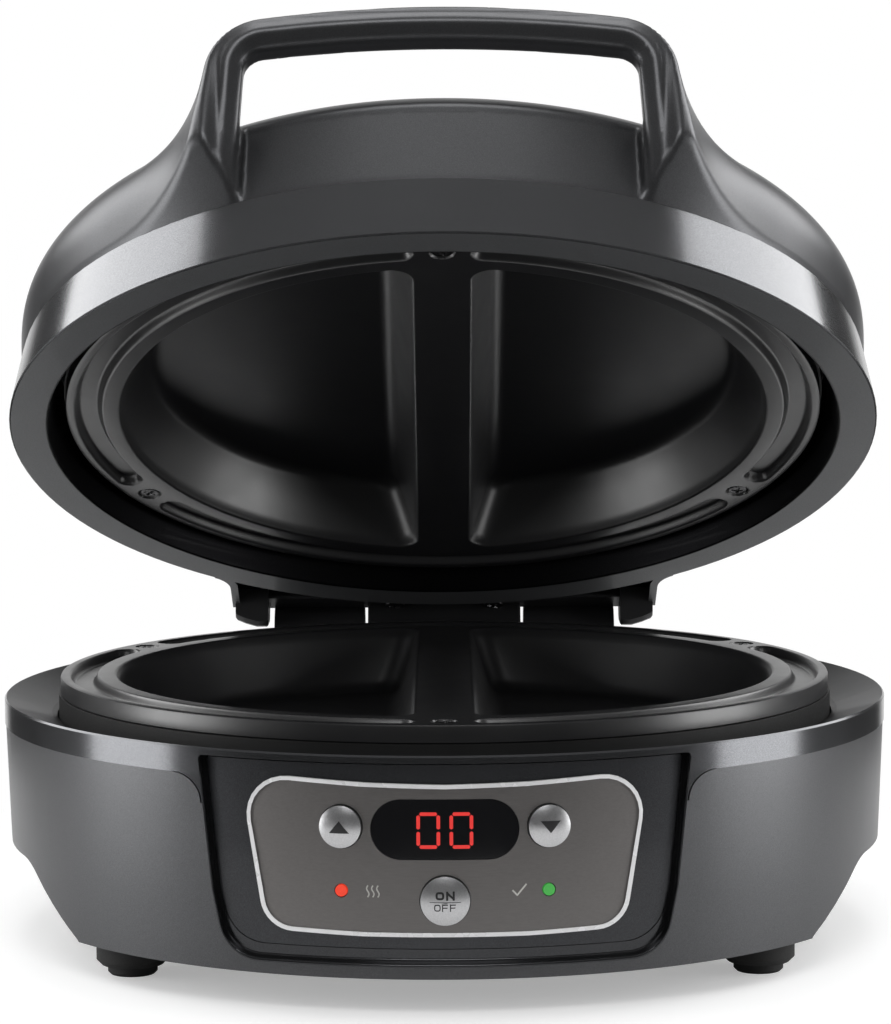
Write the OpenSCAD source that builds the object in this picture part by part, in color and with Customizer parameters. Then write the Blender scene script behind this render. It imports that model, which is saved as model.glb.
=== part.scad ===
// Electric omelette maker: a round base and a hinged lid, each with a split half-moon cooking plate,
// a recessed digital control panel in front and an arched handle on the lid.
// Millimetres, +Z up. Y runs from the control panel at the front to the hinge at the back.
// The origin is on the table, under the middle of the appliance's depth.

/* [Body] */
// Width of the deck between the lower plate and the outer edge of the base
deck_w = 16.5; // [15.5:0.5:19]
// Height of the satin side shell, from its lower edge to the glossy band
shell_h = 53.3; // [51:0.1:60]
// Wall of the satin side shell and of the lid cover
shell_wall = 2.4; // [2:0.1:3]
// Drop from the lip to the outer edge of the base deck
deck_drop = 5.9; // [5:0.1:8]
// How far the deck falls from its outer edge towards the plate
deck_dish = 5.6; // [3:0.1:6]
// Height of the glossy band below the deck edge
band_h = 7.3; // [6:0.1:9]
// Gap between the side shell and the table
shell_lift = 10; // [9:0.5:12]
// Height of the side shell's raised lower edge at the sides and back
side_lift = 28.5; // [26:0.5:32]
// How far the side shell draws in from the band to its lower edge
shell_draft = 2.1; // [1:0.1:2.5]
// Step in from the outer radius of the base to the bottom cover's wall
cover_step = 15; // [14:0.5:16.5]
// Wall of the bottom cover
cover_wall = 2.4; // [2:0.1:3]

/* [Feet] */
// Foot radius
foot_r = 10.2; // [8:0.1:10.5]
// Radius of the foot's lower pad
foot_tip_r = 7; // [5:0.1:8]
// Height of the foot's lower pad
foot_tip_h = 2.8; // [2:0.1:6]
// Step in from the outer radius of the base to the middle of a foot
foot_inset = 17.6; // [17:0.1:19]
// Angle between the middle plane and a front foot
front_foot_angle = 51.5; // [46:0.5:54]
// Angle between the middle plane and a rear foot
rear_foot_angle = 137; // [132:0.5:139]

/* [Cooking plates] */
// Radius of the half-moon wells at the lip
well_r = 97; // [90:0.5:98]
// Depth of a well
well_depth = 19; // [14:0.5:20]
// Width of the divider between the wells, at the lip
divider_w = 17; // [14:0.5:24]
// Radius of a well's upright corners, at the lip
well_corner = 6; // [4.5:0.5:9]
// How far a well's outer wall draws in over its depth
well_draft = 9; // [6:0.5:11]
// How far a well's divider wall draws in over its depth
divider_draft = 6.5; // [4:0.5:8]
// Radius at the foot of a well's walls
well_fillet = 5; // [3:0.5:7]
// Width of the flat lip round the wells
lip_w = 5.3; // [4:0.1:6]
// Width of the drain channel outside the lip
channel_w = 8.7; // [8:0.1:9.5]
// Width of the raised ring at the plate's edge
ring_w = 2.5; // [2:0.1:3]
// Depth of the drain channel between lip and ring
channel_d = 2.6; // [1.5:0.1:3]
// Metal thickness of a plate
plate_t = 2.7; // [2.2:0.1:3]
// Half length of a screw land across the drain channel, in degrees
land_half = 4.2; // [3.5:0.1:6]
// Gap between the two lips when the lid is shut
plate_gap = 0.8; // [0.5:0.1:1.5]

/* [Lid] */
// Gap between the lid's rim and the deck edge when the lid is shut
rim_gap = 0.6; // [0.4:0.1:1]
// Step out from the lower plate to the inner edge of the lid's rim
rim_step = 5.1; // [4.5:0.1:6.5]
// Height of the glossy lid band
lid_band_h = 18.6; // [17.5:0.1:22]
// How far the lid band draws in over its height
lid_band_draft = 3.1; // [2:0.1:4]
// Height from the rim to where the dome starts to turn in
dome_start = 28; // [26:0.5:30]
// Height of the dome above that level
dome_rise = 38; // [36:0.1:44]
// Radius of the dome at that level, less than the body radius by
dome_inset = 2.6; // [2:0.1:3.5]
// Angle by which the lid stands open at rest
lid_open = 29.6; // [20:0.1:40]

/* [Handle] */
// Half the distance between the middles of the handle's legs
handle_half_w = 60; // [56:0.5:64]
// Height of the handle bar's middle above the rim
handle_h = 72; // [68:0.5:78]
// How far the bar's ends lie below its middle
handle_crown = 3; // [1:0.5:5]
// Step in from the lid's outer radius to the middle of the bar
handle_inset = 12; // [8:0.5:16]
// Step in from the lid's outer radius to the middle of the legs' feet
handle_foot_inset = 17.5; // [16:0.5:20]
// Thickness of the handle
handle_t = 9; // [8:0.5:12]
// Depth of the handle from front to back
handle_d = 11; // [9:0.5:13]
// Radius of the handle's corners, at its middle line
handle_bend = 11; // [9:0.5:14]

/* [Hinge] */
// Distance of the hinge axis behind the body radius
hinge_reach = 17.5; // [16:0.5:20]
// Drop from the lip to the hinge axis
hinge_drop = 9; // [8:0.5:11]
// Radius of the hinge knuckles
knuckle_r = 10.5; // [9.5:0.1:11]
// Radius of the hinge pin
pin_r = 3; // [2.5:0.1:4]
// Radial running clearance of the pin in the lid's knuckle
pin_clear = 0.05; // [0.02:0.01:0.1]
// Half the width of the lid's middle knuckle
lid_knuckle_half = 25.4; // [20:0.2:27]
// Width of one base knuckle
base_knuckle_w = 30; // [26:0.5:32]
// Width of one outer cheek of the lid
cheek_w = 9.4; // [8:0.2:11]
// Sideways gap between knuckles
knuckle_gap = 1.1; // [0.6:0.1:1.5]

/* [Control panel] */
// Radius of the panel face, less than the body radius by
panel_inset = 3; // [2.5:0.1:4]
// Half width of the panel face at its top
panel_top_half = 64.3; // [62:0.1:65]
// Half width of the panel face at its bottom
panel_bottom_half = 60; // [57:0.1:61]
// Height of the panel face above the side shell's lower edge
chin_h = 8.1; // [7:0.1:10]
// Width of the bevel round the panel face
bezel_w = 2.1; // [1.5:0.1:2.6]
// Height of the sloping sill under the panel face
sill_h = 4.7; // [3:0.1:5]
// Thickness of the panel
panel_t = 2.4; // [2:0.1:3]
// Half width of the fascia at its widest
fascia_half = 53.4; // [50:0.1:56]
// Height of the panel left free above the fascia
fascia_gap = 3.7; // [3:0.1:5]
// Height of the panel left free under the fascia
fascia_low_gap = 3.3; // [2.5:0.1:5]
// Width of the bright trim line round the fascia
trim_w = 1.1; // [0.8:0.1:1.6]
// Thickness of the fascia
fascia_t = 0.5; // [0.4:0.1:0.8]
// Width of the display window
window_w = 39.4; // [36:0.2:42]
// Height of the display window
window_h = 16; // [14:0.2:17]
// Angle between the middle plane and the side buttons
button_angle = 12.55; // [11.8:0.05:13.5]
// Radius of the side buttons
side_button_r = 5.7; // [5:0.1:6]
// Radius of the start button
start_button_r = 6.6; // [6:0.1:7]
// Height that a button stands proud of the fascia
button_proud = 2.4; // [1.5:0.1:3]
// Travel of a button
button_travel = 1.2; // [0.8:0.1:1.3]
// Clearance round a button, a lamp or a screw
slip = 0.15; // [0.1:0.05:0.25]
// Radius of a lamp's lens
lamp_r = 1.6; // [1.2:0.1:2]

/* [Hidden] */
$fn = 96;

// Gap left where one piece seats beside another
seat = 0.3;
// Overlap that makes a cut run clean through a face
over = 1;

// Radii of the plate and of the body round it
plate_r = well_r + lip_w + channel_w + ring_w;
body_r = plate_r + deck_w;
rim_in_r = plate_r + rim_step;

// Levels, measured from the table
lip_h = shell_lift + shell_h + band_h + deck_drop;
deck_z = lip_h - deck_drop;
deck_in_z = deck_z - deck_dish;
band_z = deck_z - band_h;
rim_z = deck_z + rim_gap;
crease_z = rim_z + lid_band_h;
axis_z = lip_h - hinge_drop;
axis_y = body_r + hinge_reach;

// The origin lies midway between the front of the base and the back of the hinge knuckles
centre_y = (body_r - axis_y - knuckle_r) / 2;

// Stack under a plate: the plate sits on a heat ring, the ring on the reflector's flange and the
// flange on a ledge of the housing. Depths are measured from the lip.
plate_edge = channel_d + plate_t;
ring_h = 10;
pan_t = 0.8;
flange_d = plate_edge + ring_h;
ledge_d = flange_d + pan_t;
ledge_t = 2;
pan_step = 10.5;
pan_r = plate_r - pan_step;
ledge_r = pan_r + 0.4;
heat_ring_r = plate_r + 0.6;
pan_depth = 38;
screw_r = 1.7;
screw_boss_r = 3.2;
screw_ring_r = (well_r + lip_w + plate_r - ring_w) / 2;
screw_angles = [-90, 30, 150];

// Element tube under the wells
tube_r = 3.3;
tube_inset = 35;
tube_ring_r = well_r - tube_inset;
tube_gap = 24;
leg_r = tube_r + 0.3;

// Housing
shell_r = body_r - 0.3;
deck_t = 2.6;
collar_r = shell_r - shell_wall - 2 * seat;
collar_w = 2.3;
collar_h = 8;
seat_hole_r = plate_r + 1.1;
post_r = 4;
post_ring_r = seat_hole_r - post_r - 2.3;
post_angles = [15, 165, 240, 300];
floor_r = body_r - cover_step;
floor_z = shell_lift + 2;
flange_z = side_lift + 0.2;

// Hinge widths
base_knuckle_x = lid_knuckle_half + knuckle_gap;
cheek_x = base_knuckle_x + base_knuckle_w + knuckle_gap;
hinge_half = cheek_x + cheek_w;
knuckle_clear = 0.6;
block_back = body_r + 13;

// Panel
panel_r = body_r - panel_inset;
panel_top_z = deck_z - 2.6;
panel_bottom_z = shell_lift + chin_h;
panel_mid_half = panel_top_half - 3.6;
fascia_r = panel_r + fascia_t;
fascia_top_z = panel_top_z - fascia_gap;
fascia_bottom_z = panel_bottom_z + fascia_low_gap;
fascia_h = fascia_top_z - fascia_bottom_z;
button_z = fascia_top_z - 0.31 * fascia_h;
window_z = button_z - 0.55;
start_z = fascia_top_z - 0.767 * fascia_h;
lamp_z = fascia_top_z - 0.713 * fascia_h;
board_t = 1.6;
board_y = screw_ring_r + screw_boss_r + board_t + 0.55;
switch_h = 3.2;
plunger_h = 1.4;
plunger_y = board_y + switch_h + plunger_h;
stem_gap = button_travel + seat;

// Rounds one corner of an outline: an arc of radius r between the sides p0-p1 and p1-p2
function unit(v) = v / norm(v);
function corner_arc(p0, p1, p2, r, n) =
    let (a = unit(p0 - p1), b = unit(p2 - p1), half = acos(a * b) / 2,
        c = p1 + unit(a + b) * r / sin(half), t0 = p1 + a * r / tan(half), t1 = p1 + b * r / tan(half),
        a0 = atan2(t0[1] - c[1], t0[0] - c[0]), a1 = atan2(t1[1] - c[1], t1[0] - c[0]),
        turn = a1 - a0 > 180 ? a1 - a0 - 360 : a1 - a0 < -180 ? a1 - a0 + 360 : a1 - a0)
    r <= 0 ? [p1] : [for (i = [0:n]) c + r * [cos(a0 + turn * i / n), sin(a0 + turn * i / n)]];

// Outline with rounded corners: each point is [x, y, radius]
function round_outline(p, n = 8) =
    [for (i = [0:len(p) - 1])
        let (q = p[i], a = p[(i + len(p) - 1) % len(p)], b = p[(i + 1) % len(p)])
        each corner_arc([a[0], a[1]], [q[0], q[1]], [b[0], b[1]], q[2], n)];

// Mirrors the right half of a symmetric outline to the left
function both_sides(right) =
    concat(right, [for (i = [len(right) - 1:-1:0]) [-right[i][0], right[i][1], right[i][2]]]);

// Solid between rings of points, each ring joined to the next and the ends capped
module loft(rings) {
    n = len(rings[0]);
    m = len(rings);
    polyhedron(
        points = [for (r = rings) each r],
        faces = concat(
            [[for (i = [0:n - 1]) i]],
            [for (k = [0:m - 2], i = [0:n - 1]) each [
                [k * n + i, (k + 1) * n + i, (k + 1) * n + (i + 1) % n],
                [k * n + i, (k + 1) * n + (i + 1) % n, k * n + (i + 1) % n]]],
            [[for (i = [n - 1:-1:0]) (m - 1) * n + i]]));
}

// Puts the plate's centre in front of the origin
module placed() translate([0, centre_y, 0]) children();

// Swings what is drawn for the shut lid to its open rest
module lid_pose() placed()
    translate([0, axis_y, axis_z]) rotate([-lid_open, 0, 0]) translate([0, -axis_y, -axis_z]) children();

// Outline seen from the right, [y, z], made solid along X from x0 to x1
module across(x0, x1) rotate([90, 0, 90]) translate([0, 0, x0]) linear_extrude(x1 - x0) children();

// Cylinder along X, from x0 to x1, round the hinge axis
module axis_rod(r, x0, x1) translate([x0, axis_y, axis_z]) rotate([0, 90, 0]) cylinder(r = r, h = x1 - x0);

// Rod along the radius at an angle from the middle plane, between two distances from the centre
module radial_rod(angle, z, r, t0, t1) rotate([0, 0, angle]) translate([0, -t0, z])
    rotate([90, 0, 0]) cylinder(r = r, h = t1 - t0);

// Curved plate between two radii, cut to an outline seen from the front
module curved_plate(r0, r1) intersection() {
    difference() {
        cylinder(r = r1, h = lip_h);
        translate([0, 0, -over]) cylinder(r = r0, h = lip_h + 2 * over);
    }
    translate([0, -board_y + 20, 0]) rotate([90, 0, 0]) linear_extrude(board_y) children();
}

// Straight cut through the front along Y, to an outline seen from the front
module front_cut() translate([0, 40 - body_r, 0]) rotate([90, 0, 0]) linear_extrude(50) children();

/* Outlines of the control panel */
function panel_corners(grow, drop) = both_sides([
    [panel_top_half + grow, panel_top_z + grow / 4, 1.2],
    [panel_mid_half + grow, panel_bottom_z + 14, 20],
    [panel_bottom_half - 3 + grow, panel_bottom_z - drop, 11]]);
function fascia_corners(inset) = both_sides([
    [0.01, fascia_top_z - 1.8 - inset, 0],
    [22, fascia_top_z - 1.3 - inset, 30],
    [fascia_half + 1.8 - inset, fascia_top_z + 0.4 - inset, 11 - inset],
    [fascia_half - 5 - inset, fascia_bottom_z + 1 + inset, 9 - inset],
    [22, fascia_bottom_z + 0.2 + inset, 30]]);
module stadium(w, h) {
    square([w - h, h], center = true);
    for (s = [-1, 1]) translate([s * (w - h) / 2, 0]) circle(d = h);
}
module window_outline(grow) translate([0, window_z]) stadium(window_w + 2 * grow, window_h + 2 * grow);

/* Cooking plate and what lies under it, drawn with the lip at z = 0 and the wells hanging down */

// Half-moon outline right of the divider: a disc of radius r cut at x = g, with corners of radius c
function half_moon(r, g, c) =
    let (yc = sqrt(pow(r - c, 2) - pow(g + c, 2)), a = atan2(yc, g + c), arc_n = 24, corner_n = 6)
    concat(
        [for (i = [0:corner_n]) let (t = 180 - (180 - a) * i / corner_n) [g + c + c * cos(t), yc + c * sin(t)]],
        [for (i = [1:arc_n - 1]) let (t = a - 2 * a * i / arc_n) [r * cos(t), r * sin(t)]],
        [for (i = [0:corner_n]) let (t = -a - (180 - a) * i / corner_n) [g + c + c * cos(t), -yc + c * sin(t)]]);

// One level of a well: depth d below the lip, grown outwards by the metal thickness
function well_ring(d, grow) =
    let (full = well_depth - well_fillet, s = min(d, full) / well_depth,
        turn = d > full ? asin((d - full) / well_fillet) : 0,
        inset = well_fillet * (1 - cos(turn)))
    [for (p = half_moon(well_r - well_draft * s - inset + grow, divider_w / 2 + divider_draft * s + inset - grow,
        well_corner + grow)) [p[0], p[1], -d]];
well_levels = [0, well_depth - well_fillet, well_depth - 0.5 * well_fillet, well_depth - 0.13 * well_fillet,
    well_depth];
module well_space() {
    top = well_ring(0, 0);
    loft(concat([[for (p = top) [p[0], p[1], over]]], [for (d = well_levels) well_ring(d, 0)]));
}
module well_body() {
    loft([for (d = [0.4, well_depth - well_fillet, well_depth, well_depth + plate_t])
        let (ring = well_ring(min(d, well_depth - 0.5 * well_fillet), d > well_depth ? 0 : plate_t))
        [for (p = ring) [p[0], p[1], -d]]]);
}
module both_wells() for (s = [0, 1]) mirror([s, 0, 0]) children();

// Drain channel with round ends at the screw lands
module channel_ring() {
    r0 = well_r + lip_w;
    r1 = plate_r - ring_w;
    mid = (r0 + r1) / 2;
    half = (r1 - r0) / 2;
    end = land_half + asin(half / mid);
    for (a = screw_angles) rotate([0, 0, a + end]) {
        translate([0, 0, -channel_d]) rotate_extrude(angle = 120 - 2 * end)
            translate([r0, 0]) square([r1 - r0, channel_d + over]);
        for (t = [0, 120 - 2 * end]) rotate([0, 0, t]) translate([mid, 0, -channel_d])
            cylinder(r = half - 0.3, h = channel_d + over);
    }
}
module screw_places() for (a = screw_angles) rotate([0, 0, a]) translate([screw_ring_r, 0, 0]) children();
module plate_solid() difference() {
    union() {
        difference() {
            translate([0, 0, -plate_edge]) cylinder(r = plate_r, h = plate_edge);
            translate([0, 0, -plate_edge - over]) cylinder(r = well_r + plate_t + 1.3, h = plate_edge - plate_t + over);
        }
        both_wells() well_body();
    }
    both_wells() well_space();
    channel_ring();
    screw_places() translate([0, 0, -plate_edge - over]) cylinder(r = screw_r + slip, h = plate_edge + 2 * over);
    screw_places() translate([0, 0, -1.2]) cylinder(r = 3.4, h = 2);
}
module heat_ring_solid() difference() {
    translate([0, 0, -flange_d]) cylinder(r = heat_ring_r, h = ring_h);
    translate([0, 0, -flange_d - over]) cylinder(r = ledge_r + 1.2, h = ring_h + 2 * over);
    screw_places() translate([0, 0, -flange_d - over]) cylinder(r = screw_r + slip, h = ring_h + 2 * over);
}
module reflector_solid() difference() {
    translate([0, 0, -pan_depth]) rotate_extrude() polygon([
        [0, 0], [pan_r, 0], [pan_r, pan_depth - ledge_d], [heat_ring_r - 0.4, pan_depth - ledge_d],
        [heat_ring_r - 0.4, pan_depth - flange_d], [pan_r - pan_t, pan_depth - flange_d],
        [pan_r - pan_t, pan_t], [0, pan_t]]);
    screw_places() translate([0, 0, -ledge_d - over]) cylinder(r = screw_r + slip, h = pan_t + 2 * over);
    for (s = [-1, 1]) rotate([0, 0, 90 + s * tube_gap / 2]) translate([tube_ring_r, 0, -pan_depth - over])
        cylinder(r = leg_r + 0.2, h = pan_t + 2 * over);
}
module element_solid() {
    tube_z = -(well_depth + plate_t + seat + tube_r);
    leg_h = pan_depth + tube_z + 6;
    translate([0, 0, tube_z]) {
        rotate([0, 0, 90 + tube_gap / 2]) rotate_extrude(angle = 360 - tube_gap)
            translate([tube_ring_r, 0]) circle(r = tube_r, $fn = 32);
        for (s = [-1, 1]) rotate([0, 0, 90 + s * tube_gap / 2]) translate([tube_ring_r, 0, -leg_h])
            cylinder(r = leg_r, h = leg_h + tube_r - 0.2);
    }
}
module plate_screws_solid() screw_places() {
    translate([0, 0, -1.2]) cylinder(r = 3.1, h = 1.1);
    translate([0, 0, -ledge_d - ledge_t - 4]) cylinder(r = screw_r, h = ledge_d + ledge_t + 3);
}
// Ledge of a housing that carries the stack, with bosses for the plate screws
module ledge_solid(outer_r) difference() {
    union() {
        translate([0, 0, -ledge_d - ledge_t]) cylinder(r = outer_r, h = ledge_t);
        screw_places() translate([0, 0, -ledge_d - ledge_t - 5]) cylinder(r = screw_boss_r, h = 5 + ledge_t);
    }
    translate([0, 0, -ledge_d - ledge_t - 5 - over]) cylinder(r = ledge_r, h = ledge_t + 5 + 2 * over);
    screw_places() translate([0, 0, -ledge_d - ledge_t - 5 - over]) cylinder(r = screw_r + slip, h = ledge_t + 7);
}

/* Base */

module side_undercut() across(-body_r - over, body_r + over) polygon(round_outline([
        [-side_start, -over, 0], [0.7 - side_start, shell_lift, 3],
        [-side_end, side_lift, 20], [body_r + 20, side_lift, 0], [body_r + 20, -over, 0]]));
side_start = body_r - 53;
side_end = body_r - 81;

// Rounded upper corners of the opening in the side shell, beside the control panel
module gap_corners(gap) {
    corner = 8;
    side = panel_top_half + bezel_w + gap - 0.9;
    for (s = [-1, 1]) difference() {
        translate([s > 0 ? side - 3 : -side - corner, band_z - corner]) square([corner + 3, corner]);
        translate([s * (side + corner), band_z - corner]) circle(r = corner - gap);
    }
}
module bezel_outline(grow) polygon(round_outline(panel_corners(bezel_w + grow, sill_h + grow), 6));
// Window in the back of the housing through which the hinge bracket is bolted
hinge_neck_half = 50;
hinge_neck_top = band_z - 3;
hinge_neck_bottom = band_z - 17;
module hinge_window(gap) translate([-hinge_neck_half - gap, body_r - 40, hinge_neck_bottom - gap])
    cube([2 * (hinge_neck_half + gap), 60, hinge_neck_top - hinge_neck_bottom + 2 * gap]);

gland_angle = 145;
gland_z = flange_z + cover_wall + 9.5;
// Sheet of the deck over the control panel, grown downwards by a gap
deck_front_t = 1.6;
function deck_under(r) = deck_z - deck_front_t - deck_dish * (body_r - r) / (body_r - seat_hole_r);
module deck_slab(gap) rotate_extrude() polygon([
    [seat_hole_r, deck_under(seat_hole_r) - gap], [body_r + 2 * over, deck_under(body_r + 2 * over) - gap],
    [body_r + 2 * over, deck_z + 9], [seat_hole_r, deck_z + 9]]);
module base_shell() color("#5b5d60") placed() difference() {
    rotate_extrude() polygon([
        [shell_r, band_z], [shell_r - 1.2 * shell_draft / 2.1, band_z - 32], [shell_r - shell_draft, shell_lift],
        [shell_r - shell_draft - shell_wall, shell_lift], [shell_r - 1.2 * shell_draft / 2.1 - shell_wall, band_z - 32],
        [shell_r - shell_wall, band_z]]);
    side_undercut();
    front_cut() {
        bezel_outline(0.2);
        gap_corners(0.2);
    }
    hinge_window(seat);
    radial_rod(gland_angle, gland_z, 7 + slip, body_r - 12, body_r + 5);
}
module top_housing() color("#3d3f42") placed() difference() {
    union() {
        rotate_extrude() polygon([
            [body_r - 0.5, deck_z], [body_r, deck_z - 0.5], [body_r, band_z], [collar_r, band_z],
            [collar_r, band_z - collar_h], [collar_r - collar_w, band_z - collar_h],
            [collar_r - collar_w, deck_z - deck_t - 1], [seat_hole_r + 2.4, deck_in_z - deck_t + 0.4],
            [seat_hole_r + 2.4, lip_h - ledge_d - ledge_t], [seat_hole_r, lip_h - ledge_d - ledge_t],
            [seat_hole_r, deck_in_z]]);
        translate([0, 0, lip_h]) ledge_solid(seat_hole_r + 1);
        for (a = post_angles) rotate([0, 0, a]) translate([post_ring_r, 0, floor_z + cover_wall])
            cylinder(r = post_r, h = lip_h - ledge_d - ledge_t - floor_z - cover_wall + over);
        curved_plate(collar_r - 1, shell_r - 0.2) gap_corners(0);
    }
    for (a = post_angles) rotate([0, 0, a]) translate([post_ring_r, 0, floor_z - over])
        cylinder(r = 1.5, h = 14 + over);
    difference() {
        curved_plate(seat_hole_r + 3.4, body_r + over) bezel_outline(0.1);
        deck_slab(0);
    }
    hinge_window(seat);
    translate([0, 0, lip_h]) screw_places() translate([0, 0, -ledge_d - ledge_t - 6])
        cylinder(r = screw_r + slip, h = ledge_t + 7);
}
// Panel outlines as rings of points, with long sides split into short steps so that they follow a cylinder
function split_steps(p, q) = max(1, ceil(norm(q - p) / 6));
function on_cylinder(o, r) = [for (p = o) [p[0], -sqrt(r * r - p[0] * p[0]), p[1]]];
panel_back_r = panel_r - panel_t;
// The bezel runs down one side of the panel, under it and up the other side, and its ends stop just under
// the deck, which lies lower at a smaller radius
function cut_off(p, q, z) = [p[0] + (q[0] - p[0]) * (p[1] - z) / (p[1] - q[1]), z, p[2]];
function bezel_corners(grow, drop, z) = let (c = panel_corners(grow, drop), n = len(c))
    concat([cut_off(c[0], c[1], z)], [for (i = [1:n - 2]) c[i]], [cut_off(c[n - 1], c[n - 2], z)]);
function bezel_path(grow, drop, r) =
    let (c = bezel_corners(grow, drop, deck_under(r) - slip), n = len(c))
    concat([[c[0][0], c[0][1]]],
        [for (i = [1:n - 2])
            each corner_arc([c[i - 1][0], c[i - 1][1]], [c[i][0], c[i][1]], [c[i + 1][0], c[i + 1][1]], c[i][2], 6)],
        [[c[n - 1][0], c[n - 1][1]]]);
function split_path(o, guide) = concat([for (i = [0:len(o) - 2])
    let (p = o[i], q = o[i + 1], n = split_steps(guide[i], guide[i + 1]))
    each [for (k = [0:n - 1]) p + (q - p) * k / n]], [o[len(o) - 1]]);
module front_bezel() color("#3d3f42") placed() {
    guide = bezel_path(0, 0, panel_r);
    inner_front = on_cylinder(split_path(guide, guide), panel_r + 0.1);
    inner_back = on_cylinder(split_path(bezel_path(0, 0, panel_back_r), guide), panel_back_r);
    outer_front = on_cylinder(split_path(bezel_path(bezel_w, sill_h - 0.2, shell_r), guide), shell_r - 0.2);
    outer_back = on_cylinder(split_path(bezel_path(bezel_w, sill_h - 0.2, panel_back_r), guide), panel_back_r);
    loft([for (i = [0:len(outer_front) - 1]) [inner_front[i], outer_front[i], outer_back[i], inner_back[i]]]);
}
module button_holes(extra) {
    for (s = [-1, 1]) radial_rod(s * button_angle, button_z, side_button_r + extra, board_y, body_r + 5);
    radial_rod(0, start_z, start_button_r + extra, board_y, body_r + 5);
    for (s = [-1, 1]) radial_rod(s * button_angle, lamp_z, lamp_r + extra, board_y, body_r + 5);
}
module front_panel() color("#3a3b3d") placed() difference() {
    curved_plate(panel_r - panel_t, panel_r) polygon(round_outline(panel_corners(-slip, -slip), 6));
    button_holes(slip);
    curved_plate(panel_r - panel_t - over, panel_r + over) window_outline(slip);
    deck_slab(slip);
}
module fascia_plate() color("#6e6a66") placed() difference() {
    curved_plate(panel_r, fascia_r) polygon(round_outline(fascia_corners(trim_w), 8));
    button_holes(2 * slip);
    curved_plate(panel_r - over, fascia_r + over) window_outline(slip);
}
module fascia_trim() color("#d8d8d8") placed() curved_plate(panel_r, fascia_r + 0.5) difference() {
    polygon(round_outline(fascia_corners(0), 8));
    polygon(round_outline(fascia_corners(trim_w), 8));
}
module display_window() color("#17181c") placed() curved_plate(panel_r - 1, fascia_r) window_outline(0);
display_w = 20.5;
display_face = sqrt(pow(panel_r - 1, 2) - pow(display_w / 2, 2)) - seat;
module display_module() color("#202226") placed()
    translate([-display_w / 2, -display_face, window_z - window_h / 2 + 1])
        cube([display_w, display_face - board_y - 0.05, window_h - 2]);

module lamp(angle) placed() {
    radial_rod(angle, lamp_z, lamp_r, board_y + 4, fascia_r + 0.3);
    radial_rod(angle, lamp_z, lamp_r + 1, board_y / cos(button_angle) + seat + 0.6, board_y + 9);
}
module heating_lamp() color("red") lamp(-button_angle);
module ready_lamp() color("green") lamp(button_angle);

// Push button: domed cap, retaining flange behind the panel, and a stem that ends short of its switch
module button(angle, z, r, stem_end) placed() {
    flange_r = r + 1.2;
    back_t = sqrt(pow(panel_r - panel_t, 2) - pow(flange_r, 2)) - 0.2;
    cap_t = fascia_r + button_proud * 0.45;
    dome = button_proud * 0.55;
    dome_r = (r * r + dome * dome) / (2 * dome);
    rotate([0, 0, angle]) translate([0, 0, z]) rotate([90, 0, 0]) rotate_extrude() {
        translate([0, back_t - 1]) square([r, cap_t - back_t + 1]);
        translate([0, back_t - 1.2]) square([flange_r, 1.2]);
        translate([0, stem_end]) square([2.2, back_t - stem_end]);
        intersection() {
            translate([0, cap_t + dome - dome_r]) circle(r = dome_r);
            translate([0, cap_t - 0.5]) square([r, dome + over]);
        }
    }
}
side_stem = (plunger_y + stem_gap) / cos(button_angle) + 0.7;
module up_button() color("silver") button(-button_angle, button_z, side_button_r, side_stem);
module down_button() color("silver") button(button_angle, button_z, side_button_r, side_stem);
module start_button() color("silver") button(0, start_z, start_button_r, plunger_y + stem_gap);

board_top = lip_h - ledge_d - ledge_t - 0.6;
board_bottom = panel_bottom_z + 2;
board_half = 46;
module control_board() color("darkgreen") placed()
    translate([-board_half, -board_y, board_bottom]) cube([2 * board_half, board_t, board_top - board_bottom]);
module tact_switch(x, z) translate([x, -board_y, z]) {
    translate([-3, -switch_h, -3]) cube([6, switch_h, 6]);
    rotate([90, 0, 0]) cylinder(r = 1.7, h = switch_h + plunger_h);
}
module tact_switches() color("black") placed() {
    for (s = [-1, 1]) tact_switch(s * side_stem * sin(button_angle), button_z);
    tact_switch(0, start_z);
}
power_w = 72;
power_d = 50;
power_front = 10;
power_z = floor_z + cover_wall + 5;
module power_board() color("darkgreen") placed() {
    translate([-power_w / 2, power_front, power_z]) cube([power_w, power_d, board_t]);
    for (x = [4 - power_w / 2, power_w / 2 - 4], y = [power_front + 4, power_front + power_d - 4])
        translate([x, y, floor_z + cover_wall]) cylinder(r = 2.2, h = power_z - floor_z - cover_wall);
}
module power_parts() color("orange") placed() translate([0, power_front, power_z + board_t]) {
    translate([-0.42 * power_w, 0.12 * power_d, 0]) cube([0.25 * power_w, 0.28 * power_d, 12]);
    translate([-0.06 * power_w, 0.6 * power_d, 0]) cylinder(r = 0.1 * power_d, h = 12);
    translate([0.17 * power_w, 0.16 * power_d, 0]) cube([0.22 * power_w, 0.4 * power_d, 11]);
    translate([0.22 * power_w, 0.8 * power_d, 0]) cylinder(r = 0.08 * power_d, h = 10);
    translate([-0.42 * power_w, 0.64 * power_d, 0]) cube([0.2 * power_w, 0.16 * power_d, 10]);
}
module at_lip() placed() translate([0, 0, lip_h]) children();
module heat_ring() color("#1c1c1e") at_lip() heat_ring_solid();
module lower_reflector() color("#b8bcc0") at_lip() reflector_solid();
module lower_plate() color("#2a2b2d") at_lip() plate_solid();
module lower_element() color("#8a8d90") at_lip() element_solid();
module lower_sensor() color("#c8a060") at_lip() translate([0, 0, -plate_t - 9]) cylinder(r = 3.4, h = 9);
module lower_plate_screws() color("#3a3a3c") at_lip() plate_screws_solid();

foot_ring_r = body_r - foot_inset;
foot_places = [for (a = [-front_foot_angle, front_foot_angle, -rear_foot_angle, rear_foot_angle])
    foot_ring_r * [sin(a), -cos(a)]];
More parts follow.
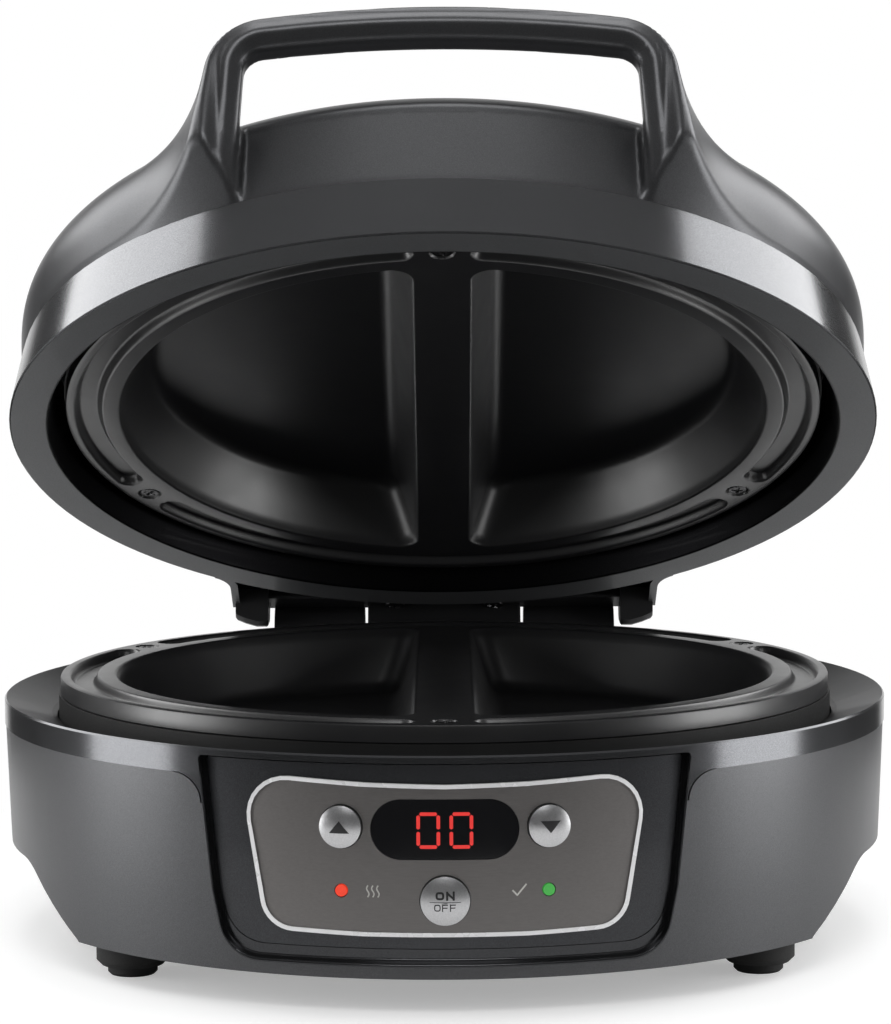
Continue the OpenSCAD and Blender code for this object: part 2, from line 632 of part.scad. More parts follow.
// Front of the bottom cover, reaching out under the control panel
chin_half = 55;
front_half = panel_top_half + bezel_w + 2;
module front_chin(half, r, top) intersection() {
    translate([0, 0, floor_z]) cylinder(r = r, h = top - floor_z);
    translate([-half, -body_r, 0]) cube([2 * half, 60, lip_h]);
}
module bottom_cover() color("#2b2c2e") placed() difference() {
    union() {
        translate([0, 0, floor_z]) cylinder(r = floor_r, h = flange_z - floor_z);
        translate([0, 0, flange_z]) cylinder(r = shell_r - shell_draft - shell_wall - 0.1, h = cover_wall);
        for (f = foot_places) translate([f[0], f[1], floor_z]) cylinder(r = foot_r + 1.2, h = flange_z - floor_z);
        front_chin(chin_half, panel_r - panel_t - seat, flange_z + cover_wall);
    }
    translate([0, 0, cover_wall]) front_chin(chin_half - cover_wall, body_r, flange_z + cover_wall);
    difference() {
        translate([-front_half, -body_r, 0]) cube([2 * front_half, 60, lip_h]);
        cylinder(r = panel_r - panel_t - seat, h = lip_h);
    }
    translate([0, 0, floor_z + cover_wall]) cylinder(r = floor_r - cover_wall, h = flange_z);
    for (f = foot_places) translate([f[0], f[1], floor_z + cover_wall])
        cylinder(r = foot_r + 1.2 - cover_wall, h = flange_z - floor_z - cover_wall);
    for (a = post_angles) rotate([0, 0, a]) translate([post_ring_r, 0, floor_z - over])
        cylinder(r = 1.9, h = cover_wall + 2 * over);
    for (x = [-40:10:40], y = [-62, 76]) translate([x - 1.5, y - 12, floor_z - over])
        cube([3, 24, cover_wall + 2 * over]);
}
module feet() color("#202022") placed() for (f = foot_places) translate([f[0], f[1], 0]) {
    cylinder(r1 = foot_tip_r - 0.8, r2 = foot_tip_r, h = 0.8);
    translate([0, 0, 0.8]) cylinder(r = foot_tip_r, h = foot_tip_h - 0.8);
    translate([0, 0, foot_tip_h]) cylinder(r1 = foot_r - 1.5, r2 = foot_r, h = 1.5);
    translate([0, 0, foot_tip_h + 1.5]) cylinder(r = foot_r, h = floor_z - foot_tip_h - 1.5);
}
module bottom_screws() color("#8a8d90") placed() for (a = post_angles) rotate([0, 0, a])
    translate([post_ring_r, 0, floor_z]) {
        translate([0, 0, -1.8]) cylinder(r = 3.4, h = 1.8);
        translate([0, 0, -over]) cylinder(r = 1.4, h = 12);
    }

// Base half of the hinge: a tower behind the housing with two knuckles, bolted through the back window
neck_r = collar_r - collar_w - 4;
neck_face_y = sqrt(pow(neck_r, 2) - pow(40, 2));
neck_mid_z = (hinge_neck_top + hinge_neck_bottom) / 2;
tower_half = base_knuckle_x + base_knuckle_w;
tower_top = axis_z - knuckle_r - knuckle_clear;
tower_bottom = hinge_neck_bottom - 8;
module hinge_base() color("#1d1d1f") placed() difference() {
    union() {
        difference() {
            across(-tower_half, tower_half) polygon([[body_r - 40, tower_bottom], [body_r + 4, tower_bottom],
                [axis_y + 4, tower_bottom + 11], [axis_y + 6, tower_bottom + 14], [axis_y + 6, tower_top],
                [body_r - 40, tower_top]]);
            cylinder(r = body_r + seat, h = lip_h);
        }
        intersection() {
            hinge_window(0);
            difference() {
                cylinder(r = body_r + seat + over, h = lip_h);
                cylinder(r = neck_r, h = lip_h);
            }
        }
        for (x = [-36, 36]) translate([x, neck_face_y, neck_mid_z]) rotate([-90, 0, 0]) cylinder(r = 4.6, h = 9);
        for (s = [-1, 1]) {
            axis_rod(knuckle_r, s > 0 ? base_knuckle_x : -tower_half, s > 0 ? tower_half : -base_knuckle_x);
            across(s > 0 ? base_knuckle_x : -tower_half, s > 0 ? tower_half : -base_knuckle_x) polygon([
                [axis_y - knuckle_r, axis_z], [axis_y - knuckle_r, tower_top - over], [axis_y + 6, tower_top - over],
                [axis_y + knuckle_r, axis_z]]);
        }
    }
    axis_rod(pin_r, -tower_half - over, tower_half + over);
    for (x = [-36, 36]) translate([x, body_r - 40, neck_mid_z]) rotate([-90, 0, 0]) cylinder(r = 1.7, h = 42);
}
module hinge_pin() color("silver") placed() axis_rod(pin_r, -tower_half, tower_half);
module hinge_screws() color("#8a8d90") placed() for (x = [-36, 36])
    translate([x, neck_face_y, neck_mid_z])
        rotate([-90, 0, 0]) {
            translate([0, 0, -2]) cylinder(r = 3.4, h = 1.9);
            translate([0, 0, -1]) cylinder(r = 1.55, h = 14);
        }
module cord_gland() color("#1d1d1f") placed() difference() {
    union() {
        radial_rod(gland_angle, gland_z, 7, body_r - 9, body_r + 2);
        radial_rod(gland_angle, gland_z, 9, body_r + 0.4, body_r + 3);
        radial_rod(gland_angle, gland_z, 9, body_r - 9, body_r - 6);
    }
    radial_rod(gland_angle, gland_z, 3.6, body_r - 3, body_r + 6);
}

/* Lid, drawn shut */

dome_r = body_r - dome_inset;
band_top_r = body_r - lid_band_draft;
// Dome outline from its foot to the crown, a superellipse that stays full near the shoulder
dome_n = 14;
function dome_points(inset) = [for (i = [0:dome_n])
    let (s = sin(90 * i / dome_n), r = dome_r * pow(1 - pow(s, 2.35), 1 / 3.4))
    [max(0, r - inset * (1 - 0.8 * i / dome_n)), rim_z + dome_start + (dome_rise - inset) * s]];
module dome_solid(inset) rotate_extrude() polygon(concat(
    [[0, crease_z - (inset > 0 ? over : 0)], [band_top_r - inset, crease_z - (inset > 0 ? over : 0)]],
    dome_points(inset)));

// Handle: a section swept up one leg, across the bar and down the other leg
handle_low = crease_z;
handle_top = rim_z + handle_h;
leg_top = handle_top - handle_crown - handle_bend;
leg_steps = 7;
bend_steps = 6;
bar_steps = 5;
// Stations of the left half: [x, z, direction of the outward normal, flare]
function leg_lean(z) = 2.4 * (leg_top - z) / (leg_top - handle_low);
function leg_flare(z) = pow(max(0, (handle_low + 34 - z) / 34), 2);
half_path = concat(
    [for (i = [0:leg_steps]) let (z = handle_low - 4 + (leg_top - handle_low + 4) * i / leg_steps)
        [-handle_half_w - leg_lean(z), z, 180, leg_flare(z)]],
    [for (i = [1:bend_steps]) let (a = 180 - 84 * i / bend_steps)
        [-handle_half_w + handle_bend + handle_bend * cos(a), leg_top + handle_bend * sin(a), a, 0]],
    [for (i = [1:bar_steps]) let (u = i / bar_steps, x0 = handle_half_w - handle_bend * 1.1)
        [-x0 * (1 - u), handle_top - handle_crown * pow(1 - u, 2), 90 + 7 * (1 - u), 0]]);
handle_path = concat(half_path, [for (i = [len(half_path) - 2:-1:0])
    [-half_path[i][0], half_path[i][1], 180 - half_path[i][2], half_path[i][3]]]);
// Section points [outward, forward]: a flat front, a bevelled inner edge and a deep back at the feet
function handle_section(k) =
    let (t = handle_t / 2, d = handle_d / 2)
    [[t + 17 * k, -d - 12 * k], [t + 14 * k, -d + 2 - 8 * k], [t + 11 * k, 0 - k], [t + 9 * k, d - 2.6],
        [t - 0.7 + 8.6 * k, d - 0.9], [t - 2.4 + 8 * k, d], [-0.4 + 5 * k, d], [-1.4 + 4 * k, d - 0.4],
        [-t + 0.6, 1.2], [-t, 0], [-t, -d + 1 - 12 * k], [-t + 1, -d - 12 * k]];
function handle_y(z) = body_r - handle_foot_inset
    + (handle_foot_inset - handle_inset) * (z - handle_low) / (handle_top - handle_low);
module handle_solid() loft([for (s = handle_path)
    [for (p = handle_section(s[3]))
        [s[0] + p[0] * cos(s[2]), -handle_y(s[1]) - p[1], s[1] + p[0] * sin(s[2])]]]);

// Finger scoop between the handle's legs: the dome's front is cut back to a steeper cone
scoop_half = handle_half_w - handle_t / 2 + 0.5;
scoop_in = 5.5;
scoop_rise = 24.5;
module finger_scoop() intersection() {
    rotate_extrude() polygon([
        [band_top_r - 0.6, crease_z - over], [band_top_r - 0.6, crease_z],
        [band_top_r - scoop_in, crease_z + scoop_rise], [band_top_r - scoop_in, crease_z + scoop_rise + 10],
        [body_r + 4, crease_z + scoop_rise + 10], [body_r + 4, crease_z - over]]);
    translate([-scoop_half, -body_r - over, crease_z - 2 * over]) cube([2 * scoop_half, body_r * 0.5, 40]);
}
module lid_cover() color("#5b5d60") lid_pose() difference() {
    union() {
        difference() {
            union() {
                dome_solid(0);
                hinge_block(0, crease_z, crease_z + 5);
            }
            translate([0, 0, 0]) finger_scoop();
        }
        intersection() {
            handle_solid();
            translate([0, 0, crease_z]) cylinder(r1 = band_top_r - 0.2, r2 = band_top_r + 0.7 * handle_h, h = handle_h);
        }
    }
    difference() {
        dome_solid(shell_wall);
        translate([-scoop_half - 3, -body_r - over, 0]) intersection() {
            cube([2 * scoop_half + 6, body_r * 0.5, 200]);
            translate([scoop_half + 3, body_r + over, 0]) rotate_extrude() polygon([
                [band_top_r - 0.6 - shell_wall, crease_z - 2 * over],
                [band_top_r - scoop_in - shell_wall, crease_z + scoop_rise],
                [band_top_r - scoop_in - shell_wall, crease_z + 100],
                [body_r + 4, crease_z + 100], [body_r + 4, crease_z - 2 * over]]);
        }
    }
}

// Block at the back of the lid that carries the hinge, blended into the round rim
hinge_blend = 11;
function hinge_block_outline(inset) =
    let (half = hinge_half + 3 - inset, back = block_back - inset, r = body_r - inset,
        c_x = half + hinge_blend, c_y = sqrt(pow(r + hinge_blend, 2) - c_x * c_x),
        a0 = atan2(-c_y, -c_x))
    both_sides_plain(concat([[half - 4, back]], [[half - 1.2, back - 0.4], [half, back - 1.6]],
        [for (i = [0:8]) let (t = 180 + (a0 + 180) * i / 8) [c_x + hinge_blend * cos(t), c_y + hinge_blend * sin(t)]],
        [[half * 0.9, c_y - 30]]));
function both_sides_plain(right) = concat(right, [for (i = [len(right) - 1:-1:0]) [-right[i][0], right[i][1]]]);
module hinge_block(inset, z0, z1) translate([0, 0, z0]) linear_extrude(z1 - z0) polygon(hinge_block_outline(inset));

ledge_out_r = rim_in_r - 1.2;
upper_lip_z = lip_h + plate_gap;
module lid_band() color("#3d3f42") lid_pose() difference() {
    union() {
        rotate_extrude() polygon([
            [rim_in_r + 0.4, rim_z], [body_r - 0.5, rim_z], [body_r, rim_z + 0.5], [band_top_r, crease_z],
            [band_top_r - shell_wall, crease_z], [body_r - shell_wall - 0.4, rim_z + 2.4],
            [rim_in_r + 2.4, rim_z + 2.4], [ledge_out_r + 0.6, rim_z + 14],
            [ledge_out_r + 0.6, upper_lip_z + ledge_d + ledge_t], [ledge_out_r - 1.4, upper_lip_z + ledge_d + ledge_t],
            [ledge_out_r - 1.4, rim_z + 14], [rim_in_r, rim_z + 0.4]]);
        translate([0, 0, upper_lip_z]) mirror([0, 0, 1]) ledge_solid(ledge_out_r - 1);
        difference() {
            hinge_block(0, rim_z, crease_z);
            cylinder(r = body_r - shell_wall, h = 200);
            difference() {
                hinge_block(shell_wall, rim_z - over, crease_z - shell_wall);
                cylinder(r = body_r - shell_wall, h = 200);
            }
        }
    }
    axis_rod(knuckle_r + knuckle_clear, -hinge_half - seat, hinge_half + seat);
    translate([-hinge_half - seat, cheek_front - seat, rim_z - over])
        cube([2 * (hinge_half + seat), 30, cheek_top + seat - rim_z + over]);
    translate([-body_r, bracket_front + 0.8, rim_z - over]) cube([2 * body_r, 40, ear_lift + over]);
    translate([0, 0, upper_lip_z]) mirror([0, 0, 1]) screw_places() translate([0, 0, -ledge_d - ledge_t - 6])
        cylinder(r = screw_r + slip, h = ledge_t + 7);
}
bracket_bottom = rim_z + 3.2;
// Height of the block's lower edge above the rim, where the black bracket shows under it
ear_lift = 8;
cheek_front = axis_y - 9;
cheek_top = bracket_bottom + 4;
bracket_top = crease_z - shell_wall - 0.2;
bracket_front = body_r + 0.4;
module hinge_bracket() color("#1d1d1f") lid_pose() difference() {
    union() {
        difference() {
            translate([-hinge_half + 2, bracket_front, bracket_bottom])
                cube([2 * hinge_half - 4, block_back - shell_wall - seat - bracket_front, bracket_top - bracket_bottom]);
            axis_rod(knuckle_r + knuckle_clear, -hinge_half, hinge_half);
            cylinder(r = body_r + seat, h = 200);
        }
        axis_rod(knuckle_r, -lid_knuckle_half, lid_knuckle_half);
        translate([-lid_knuckle_half, cheek_front, axis_z]) cube([2 * lid_knuckle_half, 9, cheek_top - axis_z]);
        for (s = [-1, 1]) {
            x0 = s > 0 ? cheek_x : -hinge_half;
            axis_rod(knuckle_r, x0, x0 + cheek_w);
            translate([x0, cheek_front, axis_z]) cube([cheek_w, 9, cheek_top - axis_z]);
        }
    }
    axis_rod(pin_r + pin_clear, -lid_knuckle_half - over, lid_knuckle_half + over);
    for (s = [-1, 1]) translate([s * 16.4, (bracket_front + cheek_front) / 2 + 0.5, bracket_bottom - over])
        cylinder(r = screw_r + slip, h = 14);
}
module bracket_screws() color("#3a3a3c") lid_pose() for (s = [-1, 1])
    translate([s * 16.4, (bracket_front + cheek_front) / 2 + 0.5, bracket_bottom]) {
        translate([0, 0, -1.6]) cylinder(r = 3.2, h = 1.6);
        cylinder(r = screw_r, h = 10);
    }
module at_upper_lip() lid_pose() translate([0, 0, upper_lip_z]) mirror([0, 0, 1]) children();
module upper_plate() color("#2a2b2d") at_upper_lip() plate_solid();
module upper_heat_ring() color("#1c1c1e") at_upper_lip() heat_ring_solid();
module upper_reflector() color("#b8bcc0") at_upper_lip() reflector_solid();
module upper_element() color("#8a8d90") at_upper_lip() element_solid();
module thermal_fuse() color("#d0d0c8") at_upper_lip() translate([0, 0, -plate_t - 8]) cylinder(r = 3, h = 8);
module upper_plate_screws() color("#3a3a3c") at_upper_lip() plate_screws_solid();

base_shell();
top_housing();
front_bezel();
front_panel();
fascia_plate();
fascia_trim();
display_window();
display_module();
heating_lamp();
ready_lamp();
up_button();
down_button();
start_button();
control_board();
tact_switches();
power_board();
power_parts();
heat_ring();
lower_reflector();
lower_plate();
lower_element();
lower_sensor();
lower_plate_screws();
bottom_cover();
feet();
bottom_screws();
hinge_base();
hinge_pin();
hinge_screws();
cord_gland();
lid_cover();
lid_band();
hinge_bracket();
bracket_screws();
upper_plate();
upper_heat_ring();
upper_reflector();
upper_element();
thermal_fuse();
upper_plate_screws();
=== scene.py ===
import math

import bmesh
import bpy
import numpy as np
from mathutils import Matrix, Vector


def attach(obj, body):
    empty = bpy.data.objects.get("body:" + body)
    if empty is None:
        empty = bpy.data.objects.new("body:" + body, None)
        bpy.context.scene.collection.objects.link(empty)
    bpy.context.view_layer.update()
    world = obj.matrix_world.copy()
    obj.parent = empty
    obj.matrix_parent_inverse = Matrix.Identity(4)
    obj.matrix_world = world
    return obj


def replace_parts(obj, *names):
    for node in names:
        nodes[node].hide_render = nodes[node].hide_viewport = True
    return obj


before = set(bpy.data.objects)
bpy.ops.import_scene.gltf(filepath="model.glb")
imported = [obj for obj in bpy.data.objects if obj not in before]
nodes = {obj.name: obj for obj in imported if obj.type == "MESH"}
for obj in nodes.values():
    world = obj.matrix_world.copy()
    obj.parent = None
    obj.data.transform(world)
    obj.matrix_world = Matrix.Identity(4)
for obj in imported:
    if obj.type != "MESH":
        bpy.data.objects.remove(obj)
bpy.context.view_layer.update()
MM = 0.001

# Places that part.scad derives, in millimetres, about the plates' centre
CENTRE_Y = -14.0
LIP = 76.5
PANEL_TOP = LIP - 8.5
BUTTON_Z = LIP - 25.5
WINDOW_Z = LIP - 26.05
LAMP_Z = LIP - 42.8
START_Z = LIP - 45.1
FASCIA_R = 127.5
BUTTON_A = math.radians(12.55)
BUTTON_R, START_R = 5.7, 6.6
BODY_R = 130.0

# The hinge's axis, and how far the lid stands open at rest
AXIS_Y, AXIS_Z = 147.5, LIP - 9.0
LID_OPEN = math.radians(29.6)
# Takes a point of the open lid, turned back by LID_OPEN about X, to the frame of the shut lid, in metres
AXIS_ROW_Y = AXIS_Y + CENTRE_Y
LID_SHIFT = (
    0.0,
    MM * (AXIS_Y - AXIS_ROW_Y * math.cos(LID_OPEN) + AXIS_Z * math.sin(LID_OPEN)),
    MM * (AXIS_Z - AXIS_ROW_Y * math.sin(LID_OPEN) - AXIS_Z * math.cos(LID_OPEN)),
)

# Inner edge of the enamelled faces; inside it the housings are bare plastic
DECK_INNER, LID_INNER = 116.2, 119.2
# How proud the printed marks and the lit digits stand
MARK = 0.05


# ---------------------------------------------------------------- materials
class Mat:
    """A node material with short helpers."""

    def __init__(self, name):
        self.m = bpy.data.materials.new(name)
        self.m.use_nodes = True
        self.n = self.m.node_tree.nodes
        self.l = self.m.node_tree.links
        self.b = self.n["Principled BSDF"]

    def set(self, **kw):
        names = {
            "base": "Base Color",
            "rough": "Roughness",
            "metal": "Metallic",
            "spec": "Specular IOR Level",
            "coat": "Coat Weight",
            "coat_rough": "Coat Roughness",
            "aniso": "Anisotropic",
            "emit": "Emission Color",
            "emit_strength": "Emission Strength",
        }
        for k, v in kw.items():
            self.b.inputs[names[k]].default_value = (*v, 1.0) if isinstance(v, tuple) else v
        return self

    def node(self, kind, **values):
        x = self.n.new(kind)
        for k, v in values.items():
            x.inputs[k].default_value = v
        return x

    def vector_math(self, operation, vec):
        x = self.n.new("ShaderNodeVectorMath")
        x.operation = operation
        self.l.new(vec, x.inputs[0])
        return x

    def coords(self, scale=(1, 1, 1)):
        tc = self.n.new("ShaderNodeTexCoord")
        mp = self.node("ShaderNodeMapping", Scale=scale)
        self.l.new(tc.outputs["Object"], mp.inputs["Vector"])
        return mp.outputs["Vector"]

    def noise(self, scale, detail=2.0, rough=0.5, vec=None):
        x = self.node("ShaderNodeTexNoise", Scale=scale, Detail=detail, Roughness=rough)
        self.l.new(vec if vec is not None else self.coords(), x.inputs["Vector"])
        return x.outputs["Fac"]

    def ramp(self, fac, lo, hi, a, b, kind="LINEAR"):
        x = self.n.new("ShaderNodeMapRange")
        x.interpolation_type = kind
        for key, v in (("From Min", lo), ("From Max", hi), ("To Min", a), ("To Max", b)):
            x.inputs[key].default_value = v
        self.l.new(fac, x.inputs["Value"])
        return x.outputs["Result"]

    def smooth(self, fac, lo, hi):
        """A smooth step from 0 to 1."""
        return self.ramp(fac, lo, hi, 0.0, 1.0, "SMOOTHERSTEP")

    def mix(self, fac, a, b):
        x = self.n.new("ShaderNodeMix")
        x.data_type = "RGBA"
        self.l.new(fac, x.inputs["Factor"])
        for key, v in (("A", a), ("B", b)):
            s = [i for i in x.inputs if i.name == key and i.type == "RGBA"][0]
            if isinstance(v, tuple):
                s.default_value = (*v, 1.0)
            else:
                self.l.new(v, s)
        return [o for o in x.outputs if o.type == "RGBA"][0]

    def to(self, out, socket):
        self.l.new(out, self.b.inputs[socket])
        return self

    def bump(self, height, strength, distance):
        x = self.node("ShaderNodeBump", Strength=strength, Distance=distance)
        self.l.new(height, x.inputs["Height"])
        self.l.new(x.outputs["Normal"], self.b.inputs["Normal"])
        return self

    def calc(self, a, b, op="ADD"):
        x = self.n.new("ShaderNodeMath")
        x.operation = op
        for i, v in enumerate((a, b)):
            if isinstance(v, (int, float)):
                x.inputs[i].default_value = v
            else:
                self.l.new(v, x.inputs[i])
        return x.outputs[0]

    def blend(self, fac, a, b):
        """Mixes two shaders and returns the node's output."""
        x = self.n.new("ShaderNodeMixShader")
        for i, v in enumerate((fac, a, b)):
            self.l.new(v, x.inputs[i])
        return x.outputs[0]

    def backdrop_rays(self):
        """Light Path's camera, glossy and transmission rays."""
        lp = self.n.new("ShaderNodeLightPath")
        return [lp.outputs["Is %s Ray" % kind] for kind in ("Camera", "Glossy", "Transmission")]


def satin_paint(name, dark, light, rough):
    """Fine metallic flake under a satin clear coat, with a soft handling wear."""
    m = Mat(name).set(metal=0.80, coat=0.15, coat_rough=0.30, spec=0.4)
    flake = m.noise(5200.0, 1.0, 0.5)
    cloud = m.noise(26.0, 3.0, 0.55)
    m.to(m.mix(m.ramp(flake, 0.32, 0.68, 0.0, 1.0), dark, light), "Base Color")
    grain = m.ramp(flake, 0.3, 0.7, rough - 0.03, rough + 0.03)
    m.to(m.calc(grain, m.ramp(cloud, 0.3, 0.7, -0.018, 0.018)), "Roughness")
    m.bump(m.noise(2600.0, 2.0, 0.6), 0.05, 0.00006)
    return m


def gloss_band(name, dark, light, rough):
    """Dark glossy enamel with faint orange peel and a few dust specks."""
    m = Mat(name).set(metal=0.9, coat=0.25, coat_rough=0.08, spec=0.4)
    flake = m.noise(4200.0, 1.0, 0.5)
    m.to(m.mix(m.ramp(flake, 0.35, 0.65, 0.0, 1.0), dark, light), "Base Color")
    m.to(m.ramp(m.noise(40.0, 3.0, 0.6), 0.3, 0.7, rough - 0.02, rough + 0.03), "Roughness")
    m.bump(m.noise(420.0, 2.0, 0.5), 0.035, 0.00012)
    return m


def moulded(name, dark, light, rough, grain=1500.0, strength=0.25):
    """Moulded plastic with a fine spark-eroded grain."""
    m = Mat(name).set(spec=0.45)
    cloud = m.noise(30.0, 3.0, 0.5)
    m.to(m.mix(m.ramp(cloud, 0.3, 0.7, 0.0, 1.0), dark, light), "Base Color")
    g = m.noise(grain, 3.0, 0.6)
    m.to(m.ramp(g, 0.3, 0.7, rough - 0.05, rough + 0.06), "Roughness")
    m.bump(g, strength, 0.00008)
    return m


def metal(name, dark, light, rough, streak=(1, 1, 1), scale=900.0, aniso=0.0, strength=0.08):
    """Bare metal with a fine grain, drawn out where streak is below 1."""
    m = Mat(name).set(metal=1.0, aniso=aniso)
    s = m.noise(scale, 3.0, 0.6, m.coords(streak))
    m.to(m.mix(m.ramp(s, 0.3, 0.7, 0.0, 1.0), dark, light), "Base Color")
    m.to(m.ramp(s, 0.3, 0.7, rough - 0.05, rough + 0.06), "Roughness")
    m.bump(s, strength, 0.00005)
    return m


def nonstick(name):
    """Sprayed non-stick coating: near black, fine speckle, slight orange peel."""
    m = Mat(name).set(spec=0.85, coat=0.35, coat_rough=0.30)
    speck = m.node("ShaderNodeTexVoronoi", Scale=2600.0)
    m.l.new(m.coords(), speck.inputs["Vector"])
    dots = m.ramp(speck.outputs["Distance"], 0.05, 0.3, 1.0, 0.0)
    base = m.mix(m.noise(35.0, 3.0, 0.6), (0.006, 0.006, 0.007), (0.010, 0.010, 0.011))
    m.to(m.mix(m.calc(dots, 0.16, "MULTIPLY"), base, (0.09, 0.09, 0.092)), "Base Color")
    m.to(m.ramp(m.noise(60.0, 3.0, 0.6), 0.3, 0.7, 0.33, 0.40), "Roughness")
    m.bump(m.calc(m.noise(900.0, 3.0, 0.6), m.calc(dots, 0.4, "MULTIPLY")), 0.12, 0.00009)
    return m


def glow(name, colour, strength):
    """A lit lens or digit."""
    m = Mat(name).set(rough=0.25, emit=colour, emit_strength=strength)
    dark, light = [tuple(c * k for c in colour) for k in (0.45, 0.75)]
    m.to(m.mix(m.noise(900.0, 2.0, 0.5), dark, light), "Base Color")
    return m


def ink(name, dark, light, rough):
    """Printed paint."""
    m = Mat(name).set(rough=rough)
    m.to(m.mix(m.noise(900.0, 2.0, 0.5), dark, light), "Base Color")
    return m


def enamel(name, frame_turn, shift, face, inner, gloss_colours, matt_shade_colours):
    """Glossy enamel on the band. On the flat face that looks along Z times face, a satin finish with a darker
    colour, partly a real finish and partly painted shade picked by the way the face looks.
    Black plastic nearer the middle than the radius inner. frame_turn and shift take a point to that frame."""
    m = Mat(name).set(coat=0.12, coat_rough=0.08, spec=0.35)
    tc = m.n.new("ShaderNodeTexCoord")
    turn = m.node("ShaderNodeMapping", Rotation=(frame_turn, 0, 0))
    m.l.new(tc.outputs["Normal"], turn.inputs["Vector"])
    parts = m.n.new("ShaderNodeSeparateXYZ")
    m.l.new(turn.outputs["Vector"], parts.inputs[0])
    # mask picks the flat face by its normal; the darker colour it gets there is partly painted shade
    mask = m.ramp(parts.outputs["Z"], face * 0.72, face * 0.88, 0.0, 1.0)
    flake = m.ramp(m.noise(4200.0, 1.0, 0.5), 0.35, 0.65, 0.0, 1.0)
    gloss = m.mix(flake, *gloss_colours)
    matt_and_shade = m.mix(flake, *matt_shade_colours)
    put = m.node("ShaderNodeMapping", Rotation=(frame_turn, 0, 0), Location=shift)
    m.l.new(tc.outputs["Object"], put.inputs["Vector"])
    flat = m.vector_math("MULTIPLY", put.outputs["Vector"])
    flat.inputs[1].default_value = (1, 1, 0)
    radius = m.vector_math("LENGTH", flat.outputs["Vector"]).outputs["Value"]
    black = m.ramp(radius, (inner - 0.2) * MM, (inner + 0.2) * MM, 1.0, 0.0)
    plastic = m.mix(flake, (0.008, 0.008, 0.009), (0.014, 0.014, 0.015))
    m.to(m.mix(black, m.mix(mask, gloss, matt_and_shade), plastic), "Base Color")
    cloud = m.ramp(m.noise(40.0, 3.0, 0.6), 0.3, 0.7, -0.015, 0.02)
    rough = m.calc(cloud, m.ramp(mask, 0.0, 1.0, 0.18, 0.50))
    m.to(m.calc(rough, m.ramp(black, 0.0, 1.0, 0.0, 0.45), "MAXIMUM"), "Roughness")
    m.to(m.calc(m.ramp(mask, 0.0, 1.0, 0.9, 0.35), black, "MAXIMUM"), "Metallic")
    m.bump(m.noise(420.0, 2.0, 0.5), 0.03, 0.0001)
    return m


SHELL = satin_paint("shell_paint", (0.068, 0.069, 0.073), (0.108, 0.109, 0.114), 0.37)
BAND = gloss_band("band_gloss", (0.040, 0.041, 0.044), (0.062, 0.063, 0.067), 0.22)
# The second colour pair of each enamel is the flat face's darker satin: partly a real finish, partly painted
# shade
DECK = enamel(
    "deck_enamel", 0.0, (0, -CENTRE_Y * MM, 0), 1.0, DECK_INNER,
    ((0.080, 0.082, 0.087), (0.110, 0.112, 0.118)), ((0.032, 0.033, 0.035), (0.052, 0.053, 0.056)))
LID_BAND = enamel(
    "lid_band_enamel", LID_OPEN, LID_SHIFT, -1.0, LID_INNER,
    ((0.105, 0.107, 0.112), (0.145, 0.147, 0.153)), ((0.070, 0.072, 0.075), (0.100, 0.102, 0.106)))
PANEL = gloss_band("panel_dark", (0.045, 0.046, 0.050), (0.065, 0.067, 0.072), 0.34)
FASCIA = metal(
    "fascia_metal", (0.195, 0.186, 0.182), (0.225, 0.215, 0.210), 0.43, (0.03, 1, 1), 2600.0, 0.35, 0.03)
CHROME = metal("trim_chrome", (0.80, 0.80, 0.81), (0.88, 0.88, 0.89), 0.28, scale=90.0, strength=0.002)
CHROME.set(metal=0.15)
SILVER = metal("button_silver", (0.56, 0.56, 0.57), (0.68, 0.68, 0.69), 0.34, scale=2600.0, strength=0.12)
STICK = nonstick("nonstick")
RING = moulded("ring_black", (0.006, 0.006, 0.006), (0.012, 0.012, 0.012), 0.55)
HINGE = moulded("hinge_black", (0.010, 0.010, 0.011), (0.018, 0.018, 0.019), 0.42, 1100.0, 0.3)
COVER = moulded("cover_black", (0.012, 0.012, 0.013), (0.020, 0.020, 0.022), 0.5, 1000.0, 0.35)
RUBBER = moulded("foot_rubber", (0.014, 0.014, 0.014), (0.024, 0.024, 0.024), 0.75, 1800.0, 0.4)
BLACKEN = metal("screw_black", (0.07, 0.07, 0.072), (0.12, 0.12, 0.123), 0.30, scale=1800.0)
ZINC = metal("screw_steel", (0.50, 0.50, 0.51), (0.64, 0.64, 0.65), 0.32, scale=1800.0)
ALU = metal("reflector_metal", (0.62, 0.63, 0.64), (0.76, 0.77, 0.78), 0.28, (1, 0.05, 1), 900.0)
INCOLOY = metal("element_steel", (0.16, 0.16, 0.165), (0.25, 0.25, 0.255), 0.45, scale=1400.0)
BRASS = metal("sensor_brass", (0.55, 0.40, 0.18), (0.68, 0.52, 0.26), 0.32, scale=1400.0)
BOARD = moulded("board_green", (0.010, 0.060, 0.024), (0.018, 0.085, 0.035), 0.4)
PARTS = moulded("electronics", (0.02, 0.02, 0.022), (0.06, 0.06, 0.062), 0.45)
GLASS = Mat("display_glass").set(base=(0.004, 0.004, 0.005), spec=0.5, coat=0.5, coat_rough=0.04)
GLASS.to(GLASS.ramp(GLASS.noise(80.0, 2.0, 0.5), 0.3, 0.7, 0.05, 0.09), "Roughness")
GLASS.bump(GLASS.noise(60.0, 1.0, 0.5), 0.02, 0.0001)
RED = glow("lamp_red", (0.72, 0.045, 0.018), 0.75)
GREEN = glow("lamp_green", (0.06, 0.40, 0.07), 0.5)
DIGIT = glow("digit_red", (0.66, 0.035, 0.030), 0.75)
PRINT = ink("print_white", (0.50, 0.49, 0.46), (0.62, 0.61, 0.58), 0.55)
INK = ink("print_black", (0.010, 0.010, 0.011), (0.022, 0.022, 0.024), 0.5)

